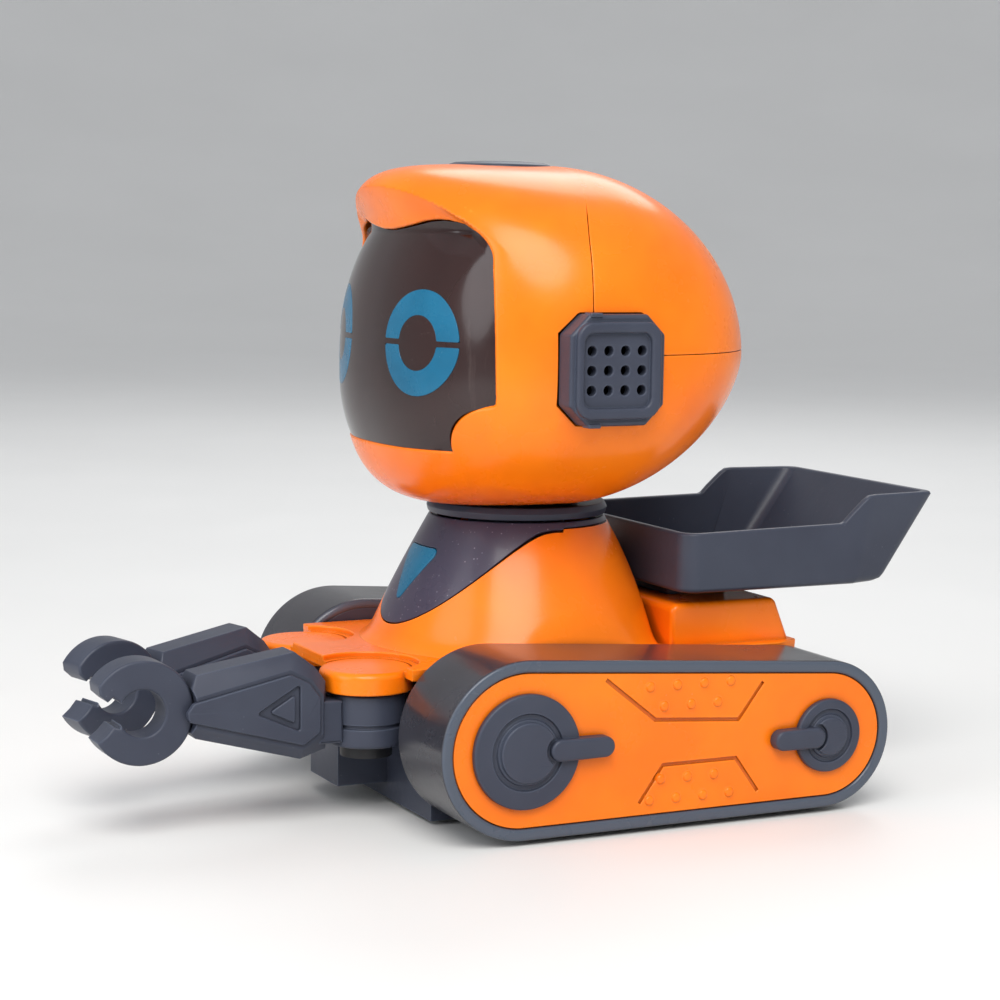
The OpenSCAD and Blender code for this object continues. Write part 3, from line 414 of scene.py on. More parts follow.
def shell(name, surface, fields, thick, lip, us, vs, lip_steps=4):
    """A closed shell: an outer surface cut by fields, a lip round every opening, and an inner surface.

    surface turns parameters from us and vs into points and normals. lip is the radius of the
    rounded edge at an opening, or a function that gives it for each point.
    """
    q, tris = grid(us, vs)
    for field in fields:
        q, tris = clip(q, tris, lambda z: surface(z)[0], field)
    points, normals = surface(q)
    points, normals, tris = weld(points, normals, tris)
    count = len(points)
    edge = np.concatenate([tris[:, [0, 1]], tris[:, [1, 2]], tris[:, [2, 0]]])
    code = edge[:, 0] * count + edge[:, 1]
    back = edge[:, 1] * count + edge[:, 0]
    rim = edge[~np.isin(code, back)]
    border = np.unique(rim)
    at = np.full(count, -1)
    at[border] = np.arange(len(border))
    a, b = at[rim[:, 0]], at[rim[:, 1]]
    out = np.zeros((len(border), 3))
    step = points[rim[:, 1]] - points[rim[:, 0]]
    side = np.cross(step, (normals[rim[:, 0]] + normals[rim[:, 1]]) / 2)
    np.add.at(out, a, side)
    np.add.at(out, b, side)
    for _ in range(2):
        blur = out.copy()
        np.add.at(blur, a, out[b] * 0.5)
        np.add.at(blur, b, out[a] * 0.5)
        out = blur
    bn = normals[border]
    out = unit(out - bn * (out * bn).sum(1, keepdims=True))
    lip = (lip(points[border]) if callable(lip) else np.full(len(border), lip))[:, None]
    verts, vert_normals = [points], [normals]
    rows = [border]
    total = count
    for k in range(1, lip_steps + 1):
        angle = math.pi / 2 * k / lip_steps
        verts.append(points[border] + out * lip * math.sin(angle) - bn * lip * (1 - math.cos(angle)))
        vert_normals.append(unit(bn * math.cos(angle) + out * math.sin(angle)))
        rows.append(total + np.arange(len(border)))
        total += len(border)
    wall_top = rows[-1]
    verts.append(points[border] + out * lip - bn * thick)
    wall_low = total + np.arange(len(border))
    total += len(border)
    vert_normals.append(out)
    inner = total + np.arange(count)
    verts.append(points - normals * thick)
    vert_normals.append(-normals)
    verts, vert_normals = np.concatenate(verts), np.concatenate(vert_normals)
    faces, corner = [tris], [vert_normals[tris]]

    def strip(top, low, flat=None):
        quads = np.stack([top[b], top[a], low[a], low[b]], 1)
        faces.append(quads)
        corner.append(vert_normals[quads] if flat is None else flat(quads))

    for upper, lower in zip(rows[:-1], rows[1:]):
        strip(upper, lower)
    strip(wall_top, wall_low)
    low_normal = np.stack([-bn[b], -bn[a], -bn[a], -bn[b]], 1)
    strip(wall_low, inner[border], lambda quads: low_normal)
    faces.append(inner[tris][:, ::-1])
    corner.append(vert_normals[faces[-1]])
    face_list = [f for group in faces for f in group.tolist()]
    mesh = bpy.data.meshes.new(name)
    mesh.from_pydata((verts * MM).tolist(), [], face_list)
    mesh.polygons.foreach_set("use_smooth", [True] * len(mesh.polygons))
    loops = np.concatenate([c.reshape(-1, 3) for c in corner])
    mesh.normals_split_custom_set(loops.tolist())
    mesh.update()
    return link_object(name, mesh)


def segment_distance(x, y, a, b):
    ax, ay = x - a[0], y - a[1]
    bx, by = b[0] - a[0], b[1] - a[1]
    t = np.clip((ax * bx + ay * by) / (bx * bx + by * by + 1e-12), 0, 1)
    return np.hypot(ax - t * bx, ay - t * by)


def polygon_distance(x, y, points):
    """Signed distance to a closed outline, negative inside."""
    best = np.full(x.shape, 1e9)
    inside = np.zeros(x.shape, bool)
    for i in range(len(points)):
        a, b = points[i], points[(i + 1) % len(points)]
        best = np.minimum(best, segment_distance(x, y, a, b))
        if a[1] != b[1]:
            crosses = ((a[1] > y) != (b[1] > y)) & (x < (b[0] - a[0]) * (y - a[1]) / (b[1] - a[1]) + a[0])
            inside ^= crosses
    return np.where(inside, -best, best)


def soft_min(a, b, k):
    """The smaller of two values, blended over a width k."""
    h = np.clip(0.5 + 0.5 * (b - a) / k, 0, 1)
    return b * (1 - h) + a * h - k * h * (1 - h)


def chaikin(points, rounds=2, closed=True):
    """Cuts the corners of an outline, again and again."""
    points = np.array(points, float)
    for _ in range(rounds):
        nxt = np.roll(points, -1, 0)
        near, far = points * 0.75 + nxt * 0.25, points * 0.25 + nxt * 0.75
        both = np.stack([near, far], 1).reshape(-1, 2)
        points = both if closed else np.concatenate([points[:1], both[:-2], points[-1:]])
    return points


# -- plates, lofts and turned parts

def arc(centre, r, start, end, steps):
    """Points of an arc, with its angles in degrees."""
    turns = (math.radians(start + (end - start) * i / steps) for i in range(steps + 1))
    return [(centre[0] + r * math.cos(a), centre[1] + r * math.sin(a)) for a in turns]


def circle(centre, r, steps=64):
    return arc(centre, r, 0, 360, steps)[:-1]


def corner_arc(p, before, after, radius, steps, share):
    """Points of the arc that rounds corner p. It uses at most that share of the sides next to it."""
    p = np.array(p, float)
    u, v = before - p, after - p
    lu, lv = np.linalg.norm(u), np.linalg.norm(v)
    u, v = u / lu, v / lv
    angle = math.acos(float(np.clip(u @ v, -1, 1)))
    if radius <= 0 or angle > math.pi - NEARLY_STRAIGHT:
        return [tuple(p)]
    cut = min(radius / math.tan(angle / 2), share * lu, share * lv)
    r = cut * math.tan(angle / 2)
    start, end = p + u * cut, p + v * cut
    centre = p + unit(u + v) * (r / math.sin(angle / 2))
    a0 = math.atan2(*(start - centre)[::-1])
    sweep = (math.atan2(*(end - centre)[::-1]) - a0 + math.pi) % (2 * math.pi) - math.pi
    turns = [a0 + sweep * k / steps for k in range(steps + 1)]
    return [(centre[0] + r * math.cos(a), centre[1] + r * math.sin(a)) for a in turns]


def rounded(points, radius, steps=5):
    """A closed outline with its corners replaced by arcs."""
    near = zip(points, points[-1:] + points[:-1], points[1:] + points[:1])
    return [v for p, before, after in near for v in corner_arc(p, before, after, radius, steps, 0.48)]


def rectangle(centre, half_u, half_v, radius):
    corners = ((-1, -1), (1, -1), (1, 1), (-1, 1))
    return rounded([(centre[0] + a * half_u, centre[1] + b * half_v) for a, b in corners], radius)


def fillet_profile(corners, radii, steps=4):
    """An open profile of (radius, height) points with its inner corners rounded, one radius each."""
    out = [tuple(corners[0])]
    for i in range(1, len(corners) - 1):
        out += corner_arc(corners[i], corners[i - 1], corners[i + 1], radii[i], steps, 0.45)
    return out + [tuple(corners[-1])]


def area(points):
    p = np.array(points)
    n = np.roll(p, -1, 0)
    return 0.5 * float((p[:, 0] * n[:, 1] - n[:, 0] * p[:, 1]).sum())


def grown(points, amount):
    """Outline moved outwards by an amount, corners mitred."""
    p = np.array(points, float)
    if area(p) < 0:
        p = p[::-1]
    d = unit(np.roll(p, -1, 0) - p)
    n = np.stack([d[:, 1], -d[:, 0]], 1)
    m = n + np.roll(n, 1, 0)
    scale = 2 / np.maximum((m * m).sum(1), 0.5)
    return p + m * scale[:, None] * amount


def soften(obj, bevel=0.0, angle=0.0):
    """Smooth shading with sharp edges kept, after rounding edges sharper than an angle."""
    if bevel:
        m = obj.modifiers.new("round", "BEVEL")
        m.width = bevel * MM
        m.segments = 3
        m.limit_method = "ANGLE"
        m.angle_limit = math.radians(angle)
        m.use_clamp_overlap = True
    mesh = obj.data
    mesh.polygons.foreach_set("use_smooth", [True] * len(mesh.polygons))
    w = obj.modifiers.new("weight", "WEIGHTED_NORMAL")
    w.keep_sharp = True
    w.weight = 80
    mesh.set_sharp_from_angle(angle=math.radians(SHARP_ANGLE))


def bake(obj):
    """Applies an object's modifiers."""
    depsgraph = bpy.context.evaluated_depsgraph_get()
    obj.data = bpy.data.meshes.new_from_object(obj.evaluated_get(depsgraph), preserve_all_data_layers=True,
                                               depsgraph=depsgraph)
    obj.modifiers.clear()
    return obj


def across(p, side=1):
    """Local (u, v, w) to robot: w along X, or against it if side is -1, u along Y and v along Z."""
    return np.stack([side * p[:, 2], p[:, 0], p[:, 1]], 1)


def upright(p):
    return p


class Stock:
    """Collects plates, lofts and turned parts of one piece, in local axes, then makes one object of them."""

    def __init__(self, place=upright):
        self.verts, self.faces, self.place = [], [], place

    def add(self, verts, faces, place=None):
        base = len(self.verts)
        verts = np.array(verts, float)
        self.verts += [tuple(v) for v in (place(verts) if place else verts)]
        self.faces += [tuple(base + i for i in f) for f in faces]

    def plate(self, outline, low, high, r=0.25, holes=(), r_low=None, steps=3, place=None):
        """A flat plate from w = low to high, with rounded edges and holes through it.

        r rounds the top edge, and r_low the bottom edge if it is given.
        """
        r_low = r if r_low is None else r_low
        quarter = [math.pi / 2 * i / steps for i in range(steps + 1)]
        bottom = [(-r_low * (1 - math.sin(a)), low + r_low * (1 - math.cos(a))) for a in quarter]
        top = [(-r * (1 - math.cos(a)), high - r * (1 - math.sin(a))) for a in quarter]
        rows = (bottom if r_low else [(0.0, low)]) + (top if r else [(0.0, high)])
        verts, faces, ends = [], [], []
        for sign, loop in [(1, outline)] + [(-1, hole) for hole in holes]:
            ids = []
            for inset, w in rows:
                ring = grown(loop, inset * sign)
                ids.append(list(range(len(verts), len(verts) + len(ring))))
                verts += [(p[0], p[1], w) for p in ring]
            for lo, hi in zip(ids[:-1], ids[1:]):
                for j in range(len(lo)):
                    j2 = (j + 1) % len(lo)
                    faces.append((lo[j], lo[j2], hi[j2], hi[j]))
            ends.append((ids[0], ids[-1]))
        for rings in zip(*ends):
            flat = [i for ring in rings for i in ring]
            tris = tessellate_polygon([[Vector((*verts[i][:2], 0)) for i in ring] for ring in rings])
            faces += [tuple(flat[i] for i in t) for t in tris]
        self.add(verts, faces, place)

    def turned(self, profile, centre=(0, 0), steps=96):
        """A solid of revolution about the local w axis, from (radius, w) points.

        The profile starts and ends on the axis, or else it is a closed ring.
        """
        verts, faces, rings = [], [], []
        for r, w in profile:
            count = 1 if r < ON_AXIS else steps
            rings.append(list(range(len(verts), len(verts) + count)))
            verts += [(x, y, w) for x, y in (circle(centre, r, steps) if count > 1 else [centre])]
        pairs = list(zip(rings[:-1], rings[1:]))
        if len(rings[0]) > 1 and len(rings[-1]) > 1:
            pairs.append((rings[-1], rings[0]))
        for a, b in pairs:
            for i in range(steps):
                j = (i + 1) % steps
                quad = [a[i % len(a)], a[j % len(a)], b[j % len(b)], b[i % len(b)]]
                faces.append(tuple(dict.fromkeys(quad)))
        self.add(verts, faces)

    def loft(self, loops):
        """A closed solid through loops of equal length, capped at both ends."""
        n, count = len(loops[0]), len(loops)
        faces = [(k * n + i, k * n + (i + 1) % n, (k + 1) * n + (i + 1) % n, (k + 1) * n + i)
                 for k in range(count - 1) for i in range(n)]
        caps = [tuple(range(n)), tuple(range((count - 1) * n, count * n))]
        self.add(np.concatenate(loops), faces + caps)

    def make(self, name):
        """One object of all that was added, with outward faces and smooth shading."""
        mesh = bpy.data.meshes.new(name)
        mesh.from_pydata((self.place(np.array(self.verts)) * MM).tolist(), [], self.faces)
        bm = bmesh.new()
        bm.from_mesh(mesh)
        bmesh.ops.remove_doubles(bm, verts=bm.verts[:], dist=1e-4 * MM)
        bmesh.ops.recalc_face_normals(bm, faces=bm.faces[:])
        bm.to_mesh(mesh)
        bm.free()
        obj = link_object(name, mesh)
        soften(obj)
        return bake(obj)


# ---------------------------------------------------------------- head

EAR_BOX = box_mm("left_ear_grille")
EAR = (middle("left_ear_grille", 1), middle("left_ear_grille", 2))
CROWN_Y = middle("crown_button", 1)
(_, _, CROWN_LOW), (CROWN_R, _, CROWN_TOP) = box_mm("crown_button")
NECK_CUT = box_mm("head_front_shell")[0][2]
HEAD_LOW, HEAD_HIGH, HEAD_Y = NECK_CUT - 0.3, CROWN_TOP - 0.55, 2.0
HEAD_SIDE, HEAD_FRONT, HEAD_REAR = 31.2, 25.6, 28.1    # reach from (0, HEAD_Y)
SECTION = 2.3                                          # power of the head's rounded section from above
EYE_X, EYE_Z = 13.2, middle("eye_rings", 2)
EYE_MID_R, EYE_HALF_BAND, EYE_SPLIT = 5.45, 1.72, 0.38
RIDGE_TOP, RIDGE_DROP, RIDGE_END = 86.3, 6.6, 21.3     # the brow ridge falls towards its ends
VISOR_TOP, BROW_DEPTH = 80.3, 3.0
HEAD_WALL, VISOR_LIP = 1.7, 0.42
FACE_Y, FAR = -5.0, 10.0


def swell(z, wide, p_up, p_down):
    """1 at the widest height, falling to 0 at the head's top and bottom by two powers."""
    up = z > wide
    u = np.where(up, (z - wide) / (HEAD_HIGH - wide), (wide - z) / (wide - HEAD_LOW))
    u = np.clip(u, 0, 1)
    p = np.where(up, p_up, p_down)
    return np.maximum(1 - u ** p, 1e-9) ** (1 / p)


def head_reach(z):
    """How far the head reaches at a height to its side, front and rear."""
    return (HEAD_SIDE * swell(z, 62.0, 2.6, 2.5), HEAD_FRONT * swell(z, 78.0, 5.5, 6.0),
            HEAD_REAR * swell(z, 63.6, 1.86, 1.58))


def ease(v):
    v = np.clip(v, 0, 1)
    return v * v * (3 - 2 * v)


def ridge_z(x):
    return RIDGE_TOP - RIDGE_DROP * (np.abs(x) / RIDGE_END) ** 2.3


def brow(x, z):
    """How far the face leans back under the brow ridge."""
    ridge = ridge_z(x)
    above = 1 - (1 - np.clip((ridge - z) / np.maximum(ridge - VISOR_TOP, 2.0), 0, 1)) ** 1.6
    below = np.exp(-np.maximum(VISOR_TOP - z, 0) / 6.5)
    side = 1 - ease((np.abs(x) - 15.0) / 10.0)
    return BROW_DEPTH * np.where(z > ridge, 0, above) * below * side


def head_value(x, y, z):
    side, front, rear = head_reach(z)
    d = y - HEAD_Y - np.where(y < 0, brow(x, z), 0)
    return (np.abs(x) / side) ** SECTION + (np.abs(d) / np.where(d < 0, front, rear)) ** SECTION


def head_surface(q):
    """Points and normals of the head, from an angle about Z and a share of the way up."""
    a, t = q[:, 0], q[:, 1]
    z = HEAD_LOW + (HEAD_HIGH - HEAD_LOW) * (1 - np.cos(np.pi * t)) / 2
    side, front, rear = head_reach(z)
    s = signed_power(np.sin(a), 2 / SECTION)
    x = side * signed_power(np.cos(a), 2 / SECTION)
    y = HEAD_Y + np.where(s < 0, front, rear) * s
    y = y + np.where(y < 0, brow(x, z), 0)
    h = 0.02
    slope = [head_value(x + h, y, z) - head_value(x - h, y, z),
             head_value(x, y + h, z) - head_value(x, y - h, z),
             head_value(x, y, z + h) - head_value(x, y, z - h)]
    return np.stack([x, y, z], 1), unit(np.stack(slope, 1))


def visor_surface(q, proud=0.0):
    """The head's surface, sunk under the brow and swelling out in front of the face."""
    p, n = head_surface(q)
    x, z = p[:, 0], p[:, 2]
    across_face = 1 - np.clip(np.abs(x) / 24.5, 0, 1) ** 8
    swelling = (1 - ease((z - 66) / 15)) * ease((z - 44) / 14) * across_face
    return p + n * (1.1 * swelling - 0.7 + proud)[:, None], n


def levels(z0, z1, count):
    """Shares of the way up the head, for head_surface, that run from one height to another."""
    t = [math.acos(1 - 2 * (z - HEAD_LOW) / (HEAD_HIGH - HEAD_LOW)) / math.pi for z in (z0, z1)]
    return np.linspace(t[0], t[1], count)


def seam_outline():
    """The rear shell's outline from the side: up behind the ear, then over the top."""
    line = chaikin([(-4.1, 64.4), (-4.1, 70), (-3.5, 76.8), (-2.8, 81), (-0.9, 85.4), (1.2, 87.6),
                    (2.0, 89.0), (2.0, 96)], 2, closed=False)
    return [(60, 64.4), *map(tuple, line), (60, 96)]


def visor_outline():
    """The visor's outline from the front, with a round notch in each lower corner."""
    top = [(0, 80.2), (6, 80.8), (12, 81.8), (15.5, 81.5), *arc((17.2, 75), 5.7, 62, 12, 4), (23.6, 73.2),
           (24.3, 68), (24.5, 62), (24.45, 57.6)]
    half = top + arc((24.5, 50.5), 6.9, 96, 172, 8) + [(17.7, 50.9)]
    left = [(-x, z) for x, z in half[:0:-1]]
    return [tuple(p) for p in chaikin(half + left, 1)]


SEAM, VISOR = seam_outline(), visor_outline()


def octagon(half_y, half_z, cut=2.7):
    """An upright rectangle about the ear's centre with its corners cut off."""
    quarter = [(half_y, half_z - cut), (half_y - cut, half_z)]
    corners = [(-a, -b) for a, b in quarter] + [(a, -b) for a, b in quarter[::-1]]
    corners += quarter + [(-a, b) for a, b in quarter[::-1]]
    return [(EAR[0] + a, EAR[1] + b) for a, b in corners]


# Each field is positive outside a shape and negative inside it, in millimetres. FAR stands for
# the other side of the head, where the shape has no say.

def seam_field(p):
    return polygon_distance(p[:, 1], p[:, 2], SEAM)


def seam_gap(p):
    """Half the seam's width, narrower where it fades out near the crown."""
    return 0.17 * (1 - 0.75 * ease((p[:, 2] - 82) / 4))


def visor_field(p):
    return np.where(p[:, 1] < FACE_Y, polygon_distance(p[:, 0], p[:, 2], VISOR), FAR)


def ear_field(p):
    return np.where(np.abs(p[:, 0]) > 20, polygon_distance(p[:, 1], p[:, 2], octagon(7.2, 7.5)), FAR)


def crown_field(p):
    return np.where(p[:, 2] > 70, np.hypot(p[:, 0], p[:, 1] - CROWN_Y) - CROWN_R - 0.2, FAR)


def eye_field(p):
    r = np.hypot(np.abs(p[:, 0]) - EYE_X, p[:, 2] - EYE_Z)
    d = np.maximum(np.abs(r - EYE_MID_R) - EYE_HALF_BAND, EYE_SPLIT - np.abs(p[:, 2] - EYE_Z))
    return np.where(p[:, 1] < FACE_Y, d, FAR)


def head_lip(p):
    """Radius of the rounded lip round each opening; wider on the visor's slanted sides."""
    nx = (np.abs(p[:, 0]) / HEAD_SIDE) ** (SECTION - 1) / HEAD_SIDE
    ny = np.maximum((np.abs(p[:, 1] - HEAD_Y) / HEAD_FRONT) ** (SECTION - 1) / HEAD_FRONT, 1e-3)
    slant = np.minimum(np.hypot(nx, ny) / ny, 2.2)
    by_neck = np.abs(p[:, 2] - NECK_CUT) < 1.0
    by_visor = np.abs(visor_field(p)) < 1.0
    return np.where(by_visor, VISOR_LIP * slant, np.where(by_neck, 0.3, 0.13))


def make_head(m):
    around = np.linspace(0, 2 * math.pi, 321)
    up = levels(NECK_CUT - 0.15, HEAD_HIGH - 0.002, 156)
    openings = [lambda p: ear_field(p) - 0.1, lambda p: crown_field(p) - 0.1]
    front_cuts = [lambda p: p[:, 2] - NECK_CUT - 0.3, lambda p: seam_field(p) - seam_gap(p),
                  lambda p: visor_field(p) - VISOR_LIP]
    front = shell("head_front_shell", head_surface, front_cuts + openings, HEAD_WALL, head_lip, around, up)
    dress(m, front, "head", "orange_plastic")
    rear = shell("head_rear_shell", head_surface, [lambda p: -seam_field(p) - seam_gap(p)] + openings,
                 HEAD_WALL, head_lip, around, up)
    dress(m, rear, "head", "orange_plastic")
    face_around = np.linspace(math.pi + 0.2, 2 * math.pi - 0.2, 300)
    face_up = levels(48.5, 83.5, 150)
    visor = shell("visor", visor_surface, [lambda p: -visor_field(p) - 0.05, lambda p: eye_field(p) - 0.05],
                  1.1, 0.06, face_around, face_up, 2)
    dress(m, visor, "head", "black_lens")
    eyes = shell("eye_rings", lambda q: visor_surface(q, 0.03), [lambda p: -eye_field(p) - 0.06], 1.0, 0.06,
                 face_around, face_up, 2)
    dress(m, eyes, "head", "eye_blue")


def make_ears(m):
    """An octagonal plate, a raised square frame on it and a floor with round holes in the frame."""
    back, face = EAR_BOX[0][0], EAR_BOX[1][0]
    s = Stock(across)
    window_at = (EAR[0] - 0.3, EAR[1])
    window = [rectangle(window_at, 5.0, 4.9, 1.3)]
    s.plate(rounded(octagon(7.05, 7.35), 0.6), back, face - 0.8, 0.5, window, 0.2)
    s.plate(rectangle((EAR[0] - 0.1, EAR[1]), 6.3, 6.4, 2.3), face - 1.1, face, 0.4, window, 0)
    holes = [circle((window_at[0] + i * 2.5, EAR[1] + j * 2.6), 0.68, 20)
             for i in (-1.5, -0.5, 0.5, 1.5) for j in (-1, 0, 1)]
    s.plate(rectangle(window_at, 5.2, 5.1, 1.3), face - 1.9, face - 0.65, 0.12, holes, 0)
    for sign in (-1, 1):
        tab = rectangle((EAR[0] - 3.4, EAR[1] + sign * 7.25), 0.9, 0.3, 0.2)
        s.plate(tab, face - 2.5, face - 0.6, 0.15, (), 0)
    dress_pair(m, s.make("left_ear_grille"), "head", "dark_plastic")


def make_crown(m):
    s = Stock()
    stem, low, flange, cap = 2.0, CROWN_LOW, CROWN_LOW + 2.4, CROWN_R - 0.1
    corners = [(0, low), (stem, low), (stem, flange), (cap, flange), (cap, CROWN_TOP - 0.6),
               (cap - 1.1, CROWN_TOP - 0.25), (3.5, CROWN_TOP - 0.08), (0, CROWN_TOP - 0.05)]
    s.turned(fillet_profile(corners, [0, 0.2, 0.3, 0.2, 0.5, 0.3, 0.5, 0]), (0, CROWN_Y))
    dress(m, s.make("crown_button"), "crown_button", "dark_plastic")


def make_neck(m):
    s = Stock()
    corners = [(4.5, 35.3), (5.6, 35.3), (5.6, 37.2), (7, 37.2), (7, 40.32), (12.9, 40.32), (13.1, 41.2),
               (12.7, 42.05), (8.9, 42.05), (8.9, 44.3), (4.5, 44.3)]
    s.turned(fillet_profile(corners, [0.25] * len(corners)))
    dress(m, s.make("neck_collar"), "head", "dark_plastic")


# ---------------------------------------------------------------- torso

(_, _, DECK_TOP), (TORSO_SIDE, TORSO_BACK, BIB_RING) = box_mm("torso_shell")
(_, _, BIB_LOW), (_, _, TORSO_TOP) = box_mm("chest_bib")
TORSO_R, TORSO_TOP_R, BIB_R = 21.5, 12.6, 13.25
BIB_Z = BIB_LOW + BIB_R


def torso_radius(a, z):
    """Radius of the bell at an angle and height: flared foot, flat sides and a flat back."""
    t = np.clip((z - DECK_TOP) / (TORSO_TOP - DECK_TOP), 0, 1)
    r = TORSO_R - (TORSO_R - TORSO_TOP_R) * t ** 1.15 + 1.3 * np.exp(-(z - DECK_TOP) / 0.8)
    r = soft_min(r, TORSO_SIDE / np.maximum(np.abs(np.cos(a)), 0.02), 1.6)
    return soft_min(r, np.where(np.sin(a) > 0.05, TORSO_BACK / np.maximum(np.sin(a), 0.05), 1e3), 3.2)


def torso_surface(q, proud=0.0):
    """Points and normals of the torso, from an angle about Z and a height."""
    a, z = q[:, 0], q[:, 1]
    h = 0.002

    def at(b, w):
        r = torso_radius(b, w)
        return np.stack([r * np.cos(b), r * np.sin(b), w], 1)

    n = unit(np.cross(at(a + h, z) - at(a - h, z), at(a, z + h) - at(a, z - h)))
    return at(a, z) + n * proud, n


def bib_field(p):
    """Negative in the bib: a disc on the front and the ring round the top."""
    disc = np.where(p[:, 1] < 1, np.hypot(p[:, 0], p[:, 2] - BIB_Z) - BIB_R, FAR)
    return soft_min(disc, BIB_RING - p[:, 2], 0.8)


def light_field(p):
    d = polygon_distance(p[:, 0], p[:, 2], [(-3.4, 35), (0, 29.4), (3.4, 35)]) - 0.9
    return np.where(p[:, 1] < 0, d, FAR)


def make_torso(m):
    around = np.linspace(0, 2 * math.pi, 301)
    up = np.linspace(DECK_TOP + 0.05, TORSO_TOP - 0.35, 70)
    torso = shell("torso_shell", torso_surface, [lambda p: bib_field(p) - 0.2], 2.0,
                  lambda p: np.where(p[:, 2] < DECK_TOP + 1, 0.05, 0.15), around, up)
    dress(m, torso, "base", "orange_plastic")
    bib = shell("chest_bib", torso_surface, [lambda p: -bib_field(p) - 0.2, lambda p: light_field(p) - 0.12],
                1.3, lambda p: np.where(p[:, 2] > TORSO_TOP - 0.6, 0.33, 0.12), around, up)
    dress(m, bib, "base", "bib_plastic")
    front = np.linspace(math.pi * 1.5 - 0.5, math.pi * 1.5 + 0.5, 90)
    light = shell("chest_light", lambda q: torso_surface(q, 0.08), [lambda p: -light_field(p) - 0.18],
                  1.1, 0.16, front, np.linspace(27.5, 37, 80))
    dress(m, light, "base", "eye_blue")


# ---------------------------------------------------------------- deck and tray

DECK_BOX, TRAY_BOX = box_mm("deck_cover"), box_mm("tray")
LEFT_SWING = next(joint for joint in frame["joints"] if joint["name"] == "left_shoulder_swing")
SHOULDER = tuple(round(v / MM, 3) for v in LEFT_SWING["pos_m"][:2])
INWARD_TURN = -LEFT_SWING["range_deg"][0]
DECK_FRONT, LUG_R, LUG_TOP = -32.5, 6.5, 21.3
TRAY_FLOOR = 30.0


def deck_outline(r):
    """The deck from above, with arcs of radius r round the two shoulders."""
    (_, _, _), (half, rear, _) = DECK_BOX
    back = 3.2
    first = 180 - math.degrees(math.asin((DECK_FRONT - SHOULDER[1]) / r))
    last = math.degrees(math.asin(back / r))
    left = arc(SHOULDER, r, first, last, 24) + [(half, SHOULDER[1] + back)]
    rear_edge = [(half, rear - 4), (half - 2.1, rear), (2.1 - half, rear), (-half, rear - 4)]
    return rear_edge + [(-x, y) for x, y in left[::-1]] + left


def make_deck(m):
    """Deck in two layers, a lug over each shoulder and the raised cover behind the torso."""
    s = Stock()
    s.plate(grown(deck_outline(LUG_R - 0.2), -0.03), LUG_TOP - 1.0, LUG_TOP - 0.02, 0.0, (), 0.2)
    s.plate(deck_outline(LUG_R + 0.7), LUG_TOP - 0.15, DECK_TOP, 0.22, (), 0)
    low, top, edge = DECK_BOX[0][2], DECK_BOX[1][2], 1.3
    lug = fillet_profile([(0, low), (LUG_R, low), (LUG_R, LUG_TOP), (0, LUG_TOP)], [0, 0.3, 0.9, 0], 6)
    for sign in (-1, 1):
        s.turned(lug, (sign * SHOULDER[0], SHOULDER[1]))
    cover = [(16.1, 20.6), *arc((17.4, top - edge), edge, 180, 90, 6),
             *arc((32.6, top - edge), edge, 90, 15, 6), (36.6, 20.6)]
    s.plate(cover, -18, 18, 0.8, place=across)
    dress(m, s.make("deck_cover"), "base", "orange_plastic")


def tray_ring(level, inset, lift=0.0):
    """A closed loop round the tray's wall: level 0 at the floor, 1 at the rim."""
    (_, front, _), (half, _, rim) = TRAY_BOX
    front, half = front + inset, half - inset
    corner, rear_corner, narrowing = max(2.8 - inset, 0.5), 1.8, 1.3
    side = [(front + corner, 38.6), (30.0, 38.8), (42.6, 39.0), (43.3, 39.3), (44.3, 40.3), (46.6, 42.3),
            (47.5, 42.9), (48.6, rim), (57.7 - inset, rim)]
    low_y = np.linspace(front + corner, 49.4 - inset, len(side))
    low_y[2:7] = (40.5, 41.2, 42.2, 44.4, 45.3)
    points = []
    for x, y in arc((half - corner, front + corner), corner, -90, 0, 6)[:-1]:
        points.append((x, y, side[0][1], y))
    for (y, z), yb in zip(side, low_y):
        points.append((half - narrowing * ease(np.float64((y - 46) / 14)), y, z, yb))
    rear_low, rear_top = 51.2 - inset, 59.9 - inset
    for a in (25, 50, 75, 90):
        c, sn = rear_corner * math.cos(math.radians(a)), rear_corner * math.sin(math.radians(a))
        points.append((half - narrowing - rear_corner + c, rear_top - rear_corner + sn, rim,
                       rear_low - rear_corner + sn))
    full = points + [(-x, y, z, yb) for x, y, z, yb in points[::-1]]
    return np.array([(x, yb + (y - yb) * level, TRAY_FLOOR + (z - TRAY_FLOOR) * level + lift)
                     for x, y, z, yb in full])


def make_tray(m):
    """One loft that runs up the inner wall, over the rolled rim and down the outer wall."""
    wall, rim_r, floor_thick = 1.2, 0.4, 1.2
    bottom = tray_ring(0.0, wall, floor_thick)
    centre = np.array([0, 33.5, 0])
    rings = [(0.02, wall + 0.7, floor_thick - 0.05), (0.10, wall + 0.25, floor_thick - 0.7), (0.2, wall, 0.0),
             (1.0, wall, -rim_r), (1.0, wall - 0.12, -0.1), (1.0, wall - rim_r, 0.0), (1.0, rim_r, 0.0),
             (1.0, 0.12, -0.1), (1.0, 0.0, -rim_r), (0.08, 0.0, 0.0), (0.03, 0.12, 0.0), (0.0, 0.6, 0.0)]
    s = Stock()
    s.loft([(bottom - centre) * (0.9, 0.9, 1) + centre] + [tray_ring(*ring) for ring in rings])
    pad = rounded([(-10, 20), (10, 20), (10, 30), (-10, 30)], 1.0)
    s.plate(pad, TRAY_FLOOR - 1.75, TRAY_FLOOR + 0.2, 0.1)
    dress(m, s.make("tray"), "base", "dark_plastic")


# ---------------------------------------------------------------- track pods

